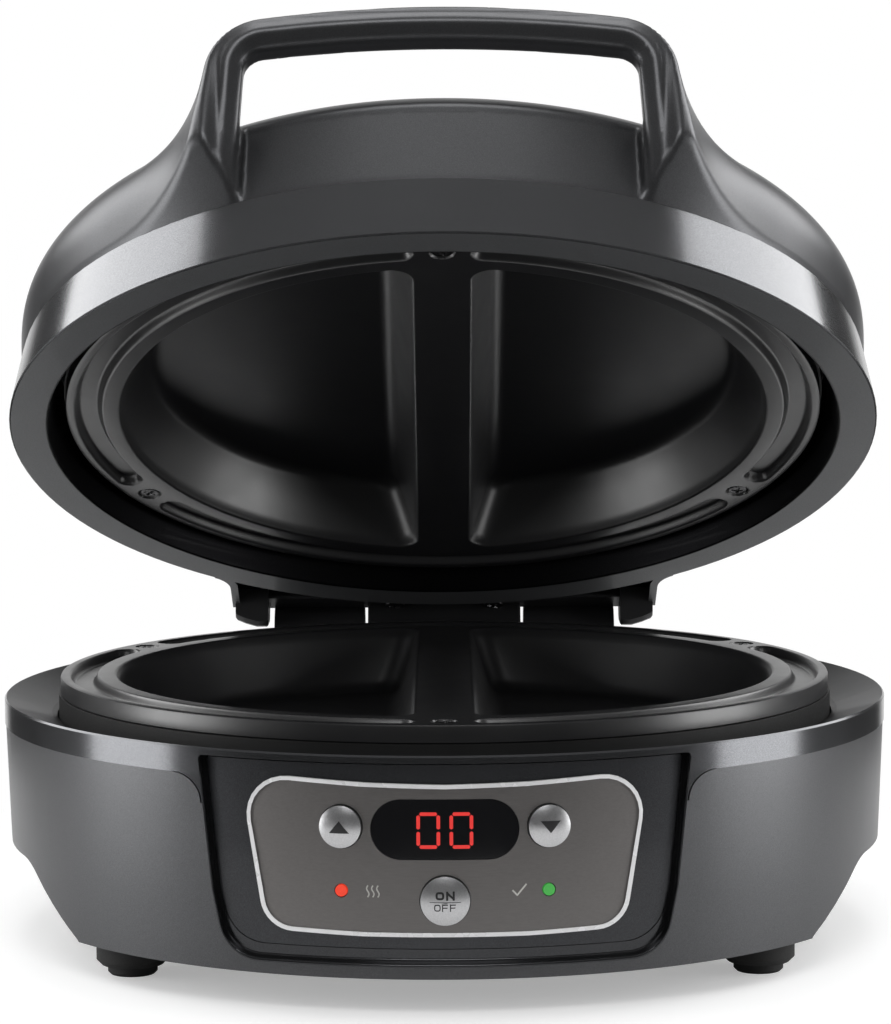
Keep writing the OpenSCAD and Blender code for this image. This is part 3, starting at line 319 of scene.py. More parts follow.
LOOK = {
    "base_shell": SHELL, "top_housing": DECK, "front_bezel": BAND, "front_panel": PANEL, "fascia_plate": FASCIA,
    "fascia_trim": CHROME, "display_window": GLASS, "display_module": PARTS, "heating_lamp": RED,
    "ready_lamp": GREEN, "up_button": SILVER, "down_button": SILVER, "start_button": SILVER,
    "control_board": BOARD, "tact_switches": PARTS, "power_board": BOARD, "power_parts": PARTS, "heat_ring": RING,
    "lower_reflector": ALU, "lower_plate": STICK, "lower_element": INCOLOY, "lower_sensor": BRASS,
    "lower_plate_screws": BLACKEN, "bottom_cover": COVER, "feet": RUBBER, "bottom_screws": ZINC,
    "hinge_base": HINGE, "hinge_pin": ZINC, "hinge_screws": ZINC, "cord_gland": COVER, "lid_cover": SHELL,
    "lid_band": LID_BAND, "hinge_bracket": HINGE, "bracket_screws": BLACKEN, "upper_plate": STICK,
    "upper_heat_ring": RING, "upper_reflector": ALU, "upper_element": INCOLOY, "thermal_fuse": PARTS,
    "upper_plate_screws": BLACKEN,
}
for name, mat in LOOK.items():
    o = nodes[name]
    o.data.materials.clear()
    o.data.materials.append(mat.m)


# ---------------------------------------------------------------- pieces
def add_object(name, me, mat, body):
    """A visible piece from a mesh, riding on one body of the frame."""
    ob = bpy.data.objects.new(name, me)
    bpy.context.scene.collection.objects.link(ob)
    me.materials.append(mat.m)
    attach(ob, body)
    return ob


def mesh_object(name, verts, faces, mat, body):
    """A visible piece from points in millimetres, with its faces turned outward."""
    me = bpy.data.meshes.new(name)
    me.from_pydata([Vector(v) * MM for v in verts], [], faces)
    me.update()
    bm = bmesh.new()
    bm.from_mesh(me)
    bmesh.ops.remove_doubles(bm, verts=bm.verts, dist=1e-7)
    bmesh.ops.recalc_face_normals(bm, faces=bm.faces)
    bm.to_mesh(me)
    bm.free()
    return add_object(name, me, mat, body)


def shade(ob, degrees):
    """Smooth shading, with sharp edges above an angle."""
    ob.data.polygons.foreach_set("use_smooth", [True] * len(ob.data.polygons))
    ob.data.set_sharp_from_angle(angle=math.radians(degrees))
    return ob


def polar(r, degrees):
    """[x, y] at a radius and an angle in degrees."""
    a = math.radians(degrees)
    return r * math.cos(a), r * math.sin(a)


def slab(name, outlines, place, mat, body):
    """Thin solids from flat outlines. place(x, z, d) puts a point of an outline, d proud of the surface."""
    verts, faces = [], []
    for o in outlines:
        n = len(o)
        k = len(verts)
        verts += [place(x, z, 0.0) for x, z in o] + [place(x, z, MARK) for x, z in o]
        faces += [tuple(range(k, k + n)), tuple(range(k + 2 * n - 1, k + n - 1, -1))]
        faces += [(k + i, k + (i + 1) % n, k + n + (i + 1) % n, k + n + i) for i in range(n)]
    return mesh_object(name, verts, faces, mat, body)


def on_fascia(r):
    """Places on the cylinder of the fascia: x is measured straight across, as seen from the front."""

    def place(x, z, d):
        y = -math.sqrt(r * r - x * x)
        return (x * (1 + d / r), CENTRE_Y + y * (1 + d / r), z)

    return place


def refine(o, step):
    """The same closed outline with no stretch longer than step."""
    out = []
    for i, p in enumerate(o):
        q = o[(i + 1) % len(o)]
        n = max(1, math.ceil(math.dist(p, q) / step))
        out += [(p[0] + (q[0] - p[0]) * k / n, p[1] + (q[1] - p[1]) * k / n) for k in range(n)]
    return out


def stroke(points, w):
    """A line of width w as one quad for each stretch. The quads overlap a little where they meet."""
    out = []
    for p, q in zip(points, points[1:]):
        dx, dz = q[0] - p[0], q[1] - p[1]
        n = math.hypot(dx, dz)
        ux, uz = dx / n * w / 2, dz / n * w / 2
        out.append([
            (p[0] - uz - ux * 0.5, p[1] + ux - uz * 0.5), (q[0] - uz + ux * 0.5, q[1] + ux + uz * 0.5),
            (q[0] + uz + ux * 0.5, q[1] - ux + uz * 0.5), (p[0] + uz - ux * 0.5, p[1] - ux - uz * 0.5)])
    return out


def zero(cx, cz, w, h, t):
    """The six bars of a seven-segment 0, with a gap between their pointed ends."""
    hw, hh, gap = w / 2 - t / 2, h / 2 - t / 2, 0.28

    def bar(x0, z0, x1, z1):
        dx, dz = x1 - x0, z1 - z0
        n = math.hypot(dx, dz)
        ux, uz = dx / n, dz / n
        px, pz = -uz * t / 2, ux * t / 2
        a, b = (x0 + ux * gap, z0 + uz * gap), (x1 - ux * gap, z1 - uz * gap)
        c = t * 0.32
        return [
            a, (a[0] + ux * c + px, a[1] + uz * c + pz), (b[0] - ux * c + px, b[1] - uz * c + pz), b,
            (b[0] - ux * c - px, b[1] - uz * c - pz), (a[0] + ux * c - px, a[1] + uz * c - pz)]

    bars = (
        bar(-hw, hh, hw, hh), bar(hw, hh, hw, 0), bar(hw, 0, hw, -hh),
        bar(-hw, -hh, hw, -hh), bar(-hw, 0, -hw, -hh), bar(-hw, hh, -hw, 0))
    return [[(x + cx, z + cz) for x, z in b] for b in bars]


lit = []
for cx in (-4.4, 4.4):
    lit += zero(cx, WINDOW_Z - 0.2, 6.3, 9.8, 0.95)
slab("display_digits", lit, on_fascia(FASCIA_R), DIGIT, "base")

# Heat and ready marks beside the lamps
waves = []
for k in range(3):
    pts = [(0.32 * math.sin(math.pi * 2 * i / 10), -1.5 + 3.0 * i / 10) for i in range(11)]
    waves += stroke([(x + k * 1.35 - 20.6, z + LAMP_Z) for x, z in pts], 0.34)
slab("heat_mark", waves, on_fascia(FASCIA_R), PRINT, "base")
tick = stroke([(18.0, LAMP_Z + 0.1), (19.2, LAMP_Z - 1.2), (21.6, LAMP_Z + 1.7)], 0.42)
slab("ready_mark", tick, on_fascia(FASCIA_R), PRINT, "base")


def on_button(angle, z, r):
    """Places on the domed cap of a button: x across, h up, both from its middle."""
    cap, dome = FASCIA_R + 1.08, 1.32  # the cap's edge, and its rise above it
    dome_r = (r * r + dome * dome) / (2 * dome)
    c, s = math.cos(angle), math.sin(angle)

    def place(x, h, d):
        t = cap + dome - dome_r + math.sqrt(dome_r ** 2 - x * x - h * h) + d
        return (x * c + t * s, CENTRE_Y + x * s - t * c, z + h)

    return place


def fan(name, outline, place, mat, body):
    """A mark that follows a domed surface, as rings round its middle."""
    o = refine(outline, 0.5)
    n, steps = len(o), 7
    mx, mz = sum(p[0] for p in outline) / len(outline), sum(p[1] for p in outline) / len(outline)
    verts = [place(mx, mz, MARK)]
    for k in range(1, steps + 1):
        verts += [place(mx + (x - mx) * k / steps, mz + (z - mz) * k / steps, MARK) for x, z in o]
    verts += [place(x, z, -MARK) for x, z in o]
    faces = [(0, 1 + i, 1 + (i + 1) % n) for i in range(n)]
    for k in range(steps):
        a, b = 1 + k * n, 1 + (k + 1) * n
        faces += [(a + i, b + i, b + (i + 1) % n, a + (i + 1) % n) for i in range(n)]
    faces.append(tuple(1 + steps * n + i for i in range(n)))
    return mesh_object(name, verts, faces, mat, body)


def letters(text, x0, z0, h, w, gap, line):
    """Strokes for the capitals O, N and F."""

    def squared(v):
        return math.copysign(abs(v) ** 0.62, v)

    out, x = [], x0
    for ch in text:
        if ch == "O":
            r = w / 2
            turns = [math.tau * i / 24 for i in range(25)]
            runs = [[(x + r + (r - line / 2) * squared(math.cos(t)),
                      z0 + h / 2 + (h / 2 - line / 2) * squared(math.sin(t))) for t in turns]]
        elif ch == "N":
            a, b = x + line / 2, x + w - line / 2
            runs = [[(a, z0), (a, z0 + h)], [(a, z0 + h - line / 2), (b, z0 + line / 2)],
                    [(b, z0), (b, z0 + h)]]
        else:
            a, b = x + line / 2, x + w * 0.86
            runs = [[(a, z0), (a, z0 + h)], [(a, z0 + h - line / 2), (b, z0 + h - line / 2)],
                    [(a, z0 + h * 0.5), (b - line * 0.4, z0 + h * 0.5)]]
        for r in runs:
            fine = []
            for p, q in zip(r, r[1:]):
                n = max(1, math.ceil(math.dist(p, q) / 0.8))
                fine += [(p[0] + (q[0] - p[0]) * k / n, p[1] + (q[1] - p[1]) * k / n)
                         for k in range(n)]
            out += stroke(fine + [r[-1]], line)
        x += w + gap
    return out


up = on_button(-BUTTON_A, BUTTON_Z, BUTTON_R)
down = on_button(BUTTON_A, BUTTON_Z, BUTTON_R)
start = on_button(0.0, START_Z, START_R)
fan("up_mark", [(-2.75, -1.55), (2.75, -1.55), (0.0, 1.75)], up, INK, "up_button")
fan("down_mark", [(-2.75, 1.55), (0.0, -1.75), (2.75, 1.55)], down, INK, "down_button")
words = letters("ON", -2.55, 0.55, 2.15, 2.3, 0.5, 0.56)
words += stroke([(-4.1 + 8.2 * i / 12, -0.12) for i in range(13)], 0.16)
words += letters("OFF", -2.95, -2.55, 1.9, 1.75, 0.35, 0.30)
slab("start_words", words, start, INK, "start_button")

# ---------------------------------------------------------------- lid cover and handle
# The cover's smooth form is a signed distance in millimetres, in the frame of the shut lid.
DECK_Z = LIP - 5.9  # top of the base's deck
RIM = DECK_Z + 0.6
CREASE = RIM + 18.6
BAND_TOP_R = BODY_R - 3.1
DOME_R = BODY_R - 2.6
DOME_Z = RIM + 28.0
DOME_RISE = 38.0
DOME_ROUND, DOME_CROWN = 3.4, 2.35  # powers of the dome's profile
COVER_WALL = 4.4
SCOOP_HALF, SCOOP_RISE, SCOOP_DRAFT = 56.0, 24.5, 0.2
BLOCK_HALF, BLOCK_BACK, BLOCK_RISE, BLOCK_BLEND = 70.0, 143.0, 5.0, 16.0
HANDLE_TOP = RIM + 71.5
HANDLE_HALF = 60.0
HANDLE_BEND = 11.0
HANDLE_CROWN = 3.0
HANDLE_T = 9.0
HANDLE_D = 11.0
HANDLE_CHAMFER = math.radians(33)
LEG_SPREAD, LEG_LEAN = 2.4, 5.5
LEG_TOP = HANDLE_TOP - HANDLE_CROWN - HANDLE_BEND


def smin(a, b, k):
    """The lesser of two distances, rounded over a width k."""
    h = np.maximum(k - np.abs(a - b), 0.0) / k
    return np.minimum(a, b) - h * h * k * 0.25


def smax(a, b, k):
    return -smin(-a, -b, k)


def dome_distance(r, z):
    """Near distance to the dome, from its profile's value over the value's slope."""
    foot = np.clip((DOME_Z - z) / (DOME_Z - CREASE), 0.0, 1.2)
    radius = DOME_R - (DOME_R - BAND_TOP_R) * foot ** 1.5
    s = np.maximum(z - DOME_Z, 0.0) / DOME_RISE
    u = r / radius
    f = u ** DOME_ROUND + s ** DOME_CROWN - 1.0
    gr = DOME_ROUND * u ** (DOME_ROUND - 1) / radius
    gz = DOME_CROWN * s ** (DOME_CROWN - 1) / DOME_RISE
    return f / np.maximum(np.sqrt(gr * gr + gz * gz), 0.008)


def handle_line():
    """Half of the handle's middle line, [x, z], from the right foot to the middle of the bar."""
    leg = LEG_TOP - CREASE
    pts = [(HANDLE_HALF + LEG_SPREAD * (LEG_TOP - z) / leg, z)
           for z in np.linspace(CREASE - 14, LEG_TOP, 14)]
    mid = HANDLE_HALF - HANDLE_BEND
    for a in np.linspace(0, math.radians(84), 14)[1:]:
        pts.append((mid + HANDLE_BEND * math.cos(a), LEG_TOP + HANDLE_BEND * math.sin(a)))
    x0, z0 = pts[-1]
    for u in np.linspace(0, 1, 14)[1:]:
        pts.append((x0 * (1 - u) - 0.4 * u, z0 + (HANDLE_TOP - z0) * (1 - (1 - u) ** 2)))
    return np.array(pts)


LINE = handle_line()


def handle_distance(x, y, z):
    """Distance to the handle, and how far a point lies outward of its middle line."""
    ax = np.abs(x)
    best = np.full(x.shape, 1e9)
    side = np.zeros(x.shape)
    for (x0, z0), (x1, z1) in zip(LINE[:-1], LINE[1:]):
        dx, dz = x1 - x0, z1 - z0
        n2 = dx * dx + dz * dz
        t = np.clip(((ax - x0) * dx + (z - z0) * dz) / n2, 0.0, 1.0)
        ex, ez = ax - x0 - t * dx, z - z0 - t * dz
        d = np.hypot(ex, ez)
        s = (ex * dz - ez * dx) / math.sqrt(n2)
        hit = d < best
        best = np.where(hit, d, best)
        side = np.where(hit, np.where(s >= 0, d, -d), side)
    lean = (HANDLE_TOP - z) / (HANDLE_TOP - CREASE)
    w = -(y + BODY_R - 12.0 - LEG_LEAN * lean)
    t, d = HANDLE_T / 2, HANDLE_D / 2
    c, s = math.cos(HANDLE_CHAMFER), math.sin(HANDLE_CHAMFER)
    f = smax(np.abs(side) - t, -w - d, 3.0)
    f = smax(f, (w - d) * c + side * s, 1.6)
    f = smax(f, (w - d) * c - side * s, 1.6)
    return f, side


def scoop_cone(r, z):
    """Distance to the drafted face of the finger scoop, between the handle's feet."""
    return (r - (BAND_TOP_R - 0.6 - np.clip(z - CREASE, 0, SCOOP_RISE) * SCOOP_DRAFT)) * 0.98


def cover_outer(p):
    """Distance to the outside of the cover with its handle."""
    x, y, z = p[:, 0], p[:, 1], p[:, 2]
    r = np.hypot(x, y)
    dome = dome_distance(r, z)
    notch = smin(scoop_cone(r, z), SCOOP_HALF - np.abs(x), 2.5)
    f = np.where(y < 0, smax(dome, notch, 1.2), dome)
    # Block over the hinge
    box = np.maximum(np.abs(x) - BLOCK_HALF, y - BLOCK_BACK)
    block = smin(r - BAND_TOP_R, np.where(y > 0, box, 1e3), BLOCK_BLEND)
    block = smax(block, z - (CREASE + BLOCK_RISE), 1.5)
    f = np.where(y > 60, smin(f, block, 2.0), f)
    # The handle, blended into the dome on its outer sides only
    near = (y < -48) & (z > CREASE - 12)
    if near.any():
        h, side = handle_distance(x[near], y[near], z[near])
        u = np.clip((side + 2.0) / 8.0, 0.0, 1.0)
        k = 3.0 + 25.0 * u * u * (3 - 2 * u)
        g = smin(f[near], h, k)
        trim = (r[near] - (BAND_TOP_R + 0.7 * np.maximum(z[near] - CREASE, 0.0))) * 0.82
        f = f.copy()
        f[near] = smax(g, trim, 1.4)
    return f


def cover_distance(p):
    """Distance to the whole shell: the outside less the hollow, cut off at the crease."""
    x, y, z = p[:, 0], p[:, 1], p[:, 2]
    r = np.hypot(x, y)
    f = cover_outer(p)
    hollow = dome_distance(r, z) + COVER_WALL
    scoop = np.minimum(scoop_cone(r, z) + COVER_WALL, SCOOP_HALF + 3.0 - np.abs(x))
    hollow = np.where(y < 0, np.maximum(hollow, scoop), hollow)
    f = np.maximum(f, -hollow)
    return np.maximum(f, CREASE - z)


def gradient(f, p, h=0.05):
    """Slope of a distance at each point."""
    g = np.empty_like(p)
    for i in range(3):
        d = np.zeros(3)
        d[i] = h
        g[:, i] = (f(p + d) - f(p - d)) / (2 * h)
    return g


def surface_net(f, lo, hi, cell):
    """Quads on the surface f = 0: one vertex for each cell that the surface crosses."""
    n = [int(math.ceil((b - a) / cell)) + 1 for a, b in zip(lo, hi)]
    axes = [lo[i] + cell * np.arange(n[i]) for i in range(3)]
    grid = np.stack(np.meshgrid(*axes, indexing="ij"), -1).reshape(-1, 3)
    v = np.concatenate([f(c) for c in np.array_split(grid, 12)]).reshape(n)
    inside = v < 0
    count = np.zeros([k - 1 for k in n], int)
    for dx in (0, 1):
        for dy in (0, 1):
            for dz in (0, 1):
                count += inside[dx:n[0] - 1 + dx, dy:n[1] - 1 + dy, dz:n[2] - 1 + dz]
    cells = np.argwhere((count > 0) & (count < 8))
    number = np.full([k - 1 for k in n], -1)
    number[tuple(cells.T)] = np.arange(len(cells))
    total = np.zeros((len(cells), 3))
    times = np.zeros(len(cells))
    faces = []
    for axis in range(3):
        a, b = [slice(None)] * 3, [slice(None)] * 3
        a[axis], b[axis] = slice(0, -1), slice(1, None)
        u, w = [i for i in range(3) if i != axis]
        flip = inside[tuple(a)] != inside[tuple(b)]
        e = np.argwhere(flip)
        e = e[(e[:, u] > 0) & (e[:, w] > 0) & (e[:, u] < n[u] - 1) & (e[:, w] < n[w] - 1)]
        out = inside[tuple(a)][tuple(e.T)]
        va, vb = v[tuple(a)][tuple(e.T)], v[tuple(b)][tuple(e.T)]
        cross = e.astype(float)
        cross[:, axis] += va / (va - vb)
        quad = []
        for du, dw in ((0, 0), (1, 0), (1, 1), (0, 1)):
            c = e.copy()
            c[:, u] -= 1 - du
            c[:, w] -= 1 - dw
            quad.append(number[tuple(c.T)])
            np.add.at(total, quad[-1], cross)
            np.add.at(times, quad[-1], 1)
        quad = np.stack(quad, 1)
        turn = out if axis != 1 else ~out
        faces.append(np.where(turn[:, None], quad, quad[:, ::-1]))
    return np.array(lo) + total / np.maximum(times, 1)[:, None] * cell, np.concatenate(faces)


def opened(y, z):
    """Takes [y, z] of the shut lid, about the plates' centre, to the open lid in the row frame."""
    c, s = math.cos(LID_OPEN), math.sin(LID_OPEN)
    dy, dz = y - AXIS_Y, z - AXIS_Z
    return AXIS_Y + dy * c + dz * s + CENTRE_Y, AXIS_Z - dy * s + dz * c


def turn_to_row(v):
    """Turns directions of the shut lid to the open lid."""
    c, s = math.cos(LID_OPEN), math.sin(LID_OPEN)
    return np.stack([v[:, 0], v[:, 1] * c + v[:, 2] * s, -v[:, 1] * s + v[:, 2] * c], 1)


def array_object(name, verts, faces, normals, mat, body):
    """An object from arrays of points, quads and the points' normals."""
    me = bpy.data.meshes.new(name)
    me.vertices.add(len(verts))
    me.vertices.foreach_set("co", (verts * MM).astype(np.float32).ravel())
    me.loops.add(faces.size)
    me.loops.foreach_set("vertex_index", faces.astype(np.int32).ravel())
    me.polygons.add(len(faces))
    me.polygons.foreach_set("loop_start", np.arange(0, faces.size, faces.shape[1], dtype=np.int32))
    me.update(calc_edges=True)
    me.validate()
    me.polygons.foreach_set("use_smooth", [True] * len(me.polygons))
    me.normals_split_custom_set_from_vertices(normals.tolist())
    return add_object(name, me, mat, body)


def make_cover():
    cell = 1.3
    lo, hi = (-131.3, -131.3, CREASE - 1.9), (131.3, 145.4, HANDLE_TOP + 9)
    verts, faces = surface_net(cover_distance, lo, hi, cell)
    # Draw the points onto the surface
    for _ in range(5):
        g = gradient(cover_distance, verts)
        d = cover_distance(verts)
        move = d / np.maximum((g * g).sum(1), 0.2)
        verts = verts - np.clip(move, -cell, cell)[:, None] * g
    # Draw the points by the lower edge onto the edge
    edge = (np.abs(verts[:, 2] - CREASE) < 0.7 * cell) & (np.abs(cover_outer(verts)) < 0.7 * cell)
    e = verts[edge]
    for _ in range(4):
        e[:, 2] = CREASE
        g = gradient(cover_outer, e + [0, 0, 0.1])
        g[:, 2] = 0
        e = e - (cover_outer(e + [0, 0, 0.1]) / np.maximum((g * g).sum(1), 0.2))[:, None] * g
    verts[edge] = e
    normals = gradient(cover_distance, verts)
    normals[edge] = gradient(cover_outer, e + [0, 0, 0.3])
    normals /= np.maximum(np.linalg.norm(normals, axis=1), 1e-9)[:, None]
    verts = np.stack([verts[:, 0], *opened(verts[:, 1], verts[:, 2])], 1)
    return array_object("lid_cover_skin", verts, faces, turn_to_row(normals), SHELL, "lid")


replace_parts(make_cover(), "lid_cover")

# ---------------------------------------------------------------- cooking plates
WELL_R, WELL_DEPTH, DIVIDER_W, WELL_CORNER, WELL_EDGE = 97.0, 19.0, 17.0, 6.0, 1.1
WELL_DRAFT, DIVIDER_DRAFT, WELL_FILLET, PLATE_T = 9.0, 6.5, 5.5, 2.2
LIP_R, RING_R, PLATE_R, CHANNEL_D, PLATE_EDGE = 102.3, 111.0, 113.5, 2.6, 5.3
SCREW_R0 = (LIP_R + RING_R) / 2
SCREW_ANGLES = (-90.0, 30.0, 150.0)
SCREW_SINK = 1.2
PLATE_GAP = 0.8  # between the lips of the two plates when the lid is shut


def wall_inset(d, draft, rho, depth):
    """How far a drafted wall with a rounded foot has drawn in at depth d."""
    slope = math.atan(draft / depth)
    start = depth - rho + rho * math.sin(slope)
    centre = math.tan(slope) * start + rho * math.cos(slope)
    if d <= start:
        return math.tan(slope) * d
    return centre - rho * math.cos(math.asin(min(1.0, (d - depth + rho) / rho)))


def moon(r, g, c):
    """Half-moon outline of radius r, from x = g outward, with corners of radius c."""
    n_arc, n_corner, n_side = 120, 14, 40
    yc = math.sqrt((r - c) ** 2 - (g + c) ** 2)
    a = math.atan2(yc, g + c)
    pts = []
    for i in range(n_corner + 1):
        t = math.pi - (math.pi - a) * i / n_corner
        pts.append((g + c + c * math.cos(t), yc + c * math.sin(t)))
    for i in range(1, n_arc):
        t = a - 2 * a * i / n_arc
        pts.append((r * math.cos(t), r * math.sin(t)))
    for i in range(n_corner + 1):
        t = -a - (math.pi - a) * i / n_corner
        pts.append((g + c + c * math.cos(t), -yc + c * math.sin(t)))
    x, y = pts[-1]
    return pts + [(x, y - 2 * y * i / n_side) for i in range(1, n_side)]


def well_rings(grow):
    """Rings down a well, [outline, depth]. grow > 0 is the underside of the metal."""
    rings = []
    if grow == 0:
        for i in range(6):
            t = math.radians(72) * i / 5
            o, d = WELL_EDGE * (1 - math.sin(t)) - 0.15, WELL_EDGE * (1 - math.cos(t))
            rings.append((moon(WELL_R + o, DIVIDER_W / 2 - o, WELL_CORNER + o), d))
    depth, foot = WELL_DEPTH + grow, WELL_FILLET + grow
    levels = [1.2 + grow + (depth - foot - 1.2 - grow) * i / 6 for i in range(7)]
    levels += [depth - foot + foot * math.sin(math.radians(a)) for a in range(8, 91, 7)] + [depth]
    for d in levels:
        if rings and d <= rings[-1][1] + 0.02:
            continue
        r = WELL_R + grow - wall_inset(d, WELL_DRAFT, foot, depth)
        g = DIVIDER_W / 2 - grow + wall_inset(d, DIVIDER_DRAFT, foot, depth)
        rings.append((moon(r, g, WELL_CORNER + grow), d))
    return rings


def off_screw(t):
    """How many degrees the angle t is from the nearest screw."""
    return min(abs((t - a + 180) % 360 - 180) for a in SCREW_ANGLES)


def slot_depth(r, t):
    """Depth of the drain channel and of the screw recesses at radius r and angle t in degrees."""
    half = (RING_R - LIP_R) / 2
    near = off_screw(t)
    end = 4.2 + math.degrees(half / SCREW_R0)
    if near >= end:
        inside = half - abs(r - SCREW_R0)
    else:
        inside = half - math.hypot(r - SCREW_R0, math.radians(end - near) * SCREW_R0)
    d = 0.0
    if inside > 0:
        u = min(1.0, inside / 1.9)
        d = CHANNEL_D * u * u * (3 - 2 * u)
    screw = 3.5 - math.hypot(r - SCREW_R0, math.radians(near) * SCREW_R0)
    if screw > 0:
        d = max(d, SCREW_SINK * min(1.0, screw / 0.35))
    return d


def plate_mesh(name, place, body):
    """A whole plate: wells, lip, channel, outer ring and the underside. place puts a point of the plate,
    drawn with its lip at z = 0, into the row frame."""
    bm = bmesh.new()

    def vert(x, y, z):
        return bm.verts.new(place(x, y, z) * MM)

    def strip(a, b, flip):
        n = len(a)
        for i in range(n):
            j = (i + 1) % n
            q = (a[i], a[j], b[j], b[i])
            bm.faces.new(q[::-1] if flip else q).smooth = True

    def fill(outer, holes):
        edges = []
        for loop in [outer] + holes:
            for i, v in enumerate(loop):
                w = loop[(i + 1) % len(loop)]
                edges.append(bm.edges.get((v, w)) or bm.edges.new((v, w)))
        made = bmesh.ops.triangle_fill(bm, edges=edges, use_beauty=True, normal=(0, 0, 1))
        for g in made["geom"]:
            if isinstance(g, bmesh.types.BMFace):
                g.smooth = True

    angles = []
    t = 0.0
    while t < 360 - 1e-6:
        angles.append(t)
        t += 0.25 if off_screw(t) < 9 - 1e-6 else 1.0
    radii = [LIP_R - 0.3 + (RING_R - LIP_R + 0.6) * i / 30 for i in range(31)]
    edge = [(RING_R + 0.9, 0.0), (PLATE_R - 0.7, 0.0), (PLATE_R - 0.2, -0.2), (PLATE_R, -0.7),
            (PLATE_R, -PLATE_EDGE + 0.4), (PLATE_R - 0.4, -PLATE_EDGE)]
    inner = [(WELL_R + PLATE_T + 1.6, -PLATE_EDGE), (WELL_R + PLATE_T + 1.3, -PLATE_T)]
    rings = [[vert(*polar(r, a), -slot_depth(r, a)) for a in angles] for r in radii]
    rings += [[vert(*polar(r, a), z) for a in angles] for r, z in edge + inner]
    for a, b in zip(rings, rings[1:]):
        strip(a, b, True)
    for grow, outer in ((0.0, rings[0]), (PLATE_T, rings[-1])):
        tops = []
        for s in (1, -1):
            loops = []
            for o, d in well_rings(grow):
                z = -d if grow == 0 else -max(d, PLATE_T)
                loops.append([vert(s * x, y, z) for x, y in o])
            for a, b in zip(loops, loops[1:]):
                strip(a, b, (s > 0) == (grow == 0))
            f = bm.faces.new(loops[-1])
            f.smooth = True
            tops.append(loops[0])
        fill(outer, tops)
    bmesh.ops.recalc_face_normals(bm, faces=bm.faces)
    me = bpy.data.meshes.new(name)
    bm.to_mesh(me)
    bm.free()
    me.set_sharp_from_angle(angle=math.radians(40))
    return add_object(name, me, STICK, body)


def lower_place(x, y, z):
    return Vector((x, y + CENTRE_Y, z + LIP))


def upper_place(x, y, z):
    return Vector((x, *opened(y, LIP + PLATE_GAP - z)))


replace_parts(plate_mesh("lower_plate_skin", lower_place, "base"), "lower_plate")
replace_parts(plate_mesh("upper_plate_skin", upper_place, "lid"), "upper_plate")


# ---------------------------------------------------------------- hinge bracket and screws
BRACKET_LOW, BRACKET_TOP = 74.4, 87.0
KNUCKLE_R, KNUCKLE_HALF = 10.5, 25.4


def prism(verts, faces, sections):
    """Adds a closed solid through sections [x, outline]; all outlines have the same number of points."""
    k, n = len(verts), len(sections[0][1])
    for x, o in sections:
        verts += [(x, y, z) for y, z in o]
    for j in range(len(sections) - 1):
        a, b = k + j * n, k + (j + 1) * n
        faces += [(a + i, a + (i + 1) % n, b + (i + 1) % n, b + i) for i in range(n)]
    last = k + (len(sections) - 1) * n
    faces += [tuple(range(k, k + n)), tuple(range(last + n - 1, last - 1, -1))]


def make_bracket():
    verts, faces = [], []
    lo, hi = BRACKET_LOW, BRACKET_TOP
    block = [opened(y, z) for y, z in (
        (130.8, lo + 0.6), (131.4, lo), (139.6, lo), (140.2, lo + 0.6),
        (140.2, hi - 0.6), (139.6, hi), (131.4, hi), (130.8, hi - 0.6))]
    prism(verts, faces, [(-65.0, block), (65.0, block)])
    # Middle knuckle round the pin, with its web up to the block
    round_pin = [polar(KNUCKLE_R, a) for a in range(-180, 91, 6)]
    knuckle = [opened(AXIS_Y + y, AXIS_Z + z) for y, z in round_pin]
    knuckle += [opened(AXIS_Y, 78.4), opened(138.5, 78.4), opened(137.0, 76.0)]
    small = [(y * 0.93 + AXIS_ROW_Y * 0.07, z * 0.93 + AXIS_Z * 0.07) for y, z in knuckle]
    half, face = KNUCKLE_HALF, KNUCKLE_HALF - 0.6
    prism(verts, faces, [(-half, small), (-face, knuckle), (face, knuckle), (half, small)])
    # Outer cheeks, drawn as they stand at rest
    for s in (-1, 1):
        rows = []
        for x, up in ((58.3, 0.5), (58.8, 0.0), (62.0, 0.0), (65.5, 1.0), (68.4, 2.2), (69.0, 3.0)):
            rows.append((s * x, [(y + CENTRE_Y, z) for y, z in (
                (131.2, 74.6 + up), (132.4, 72.9 + up), (134.0, 72.4 + up), (145.0, 72.4 + up),
                (147.4, 73.6 + up), (149.0, 77.0 + up * 0.5), (149.4, 80.6), (147.0, 85.0), (134.0, 85.0),
                (131.6, 80.0))]))
        prism(verts, faces, rows)
    return shade(mesh_object("hinge_bracket_skin", verts, faces, HINGE, "lid"), 35)


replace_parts(make_bracket(), "hinge_bracket")


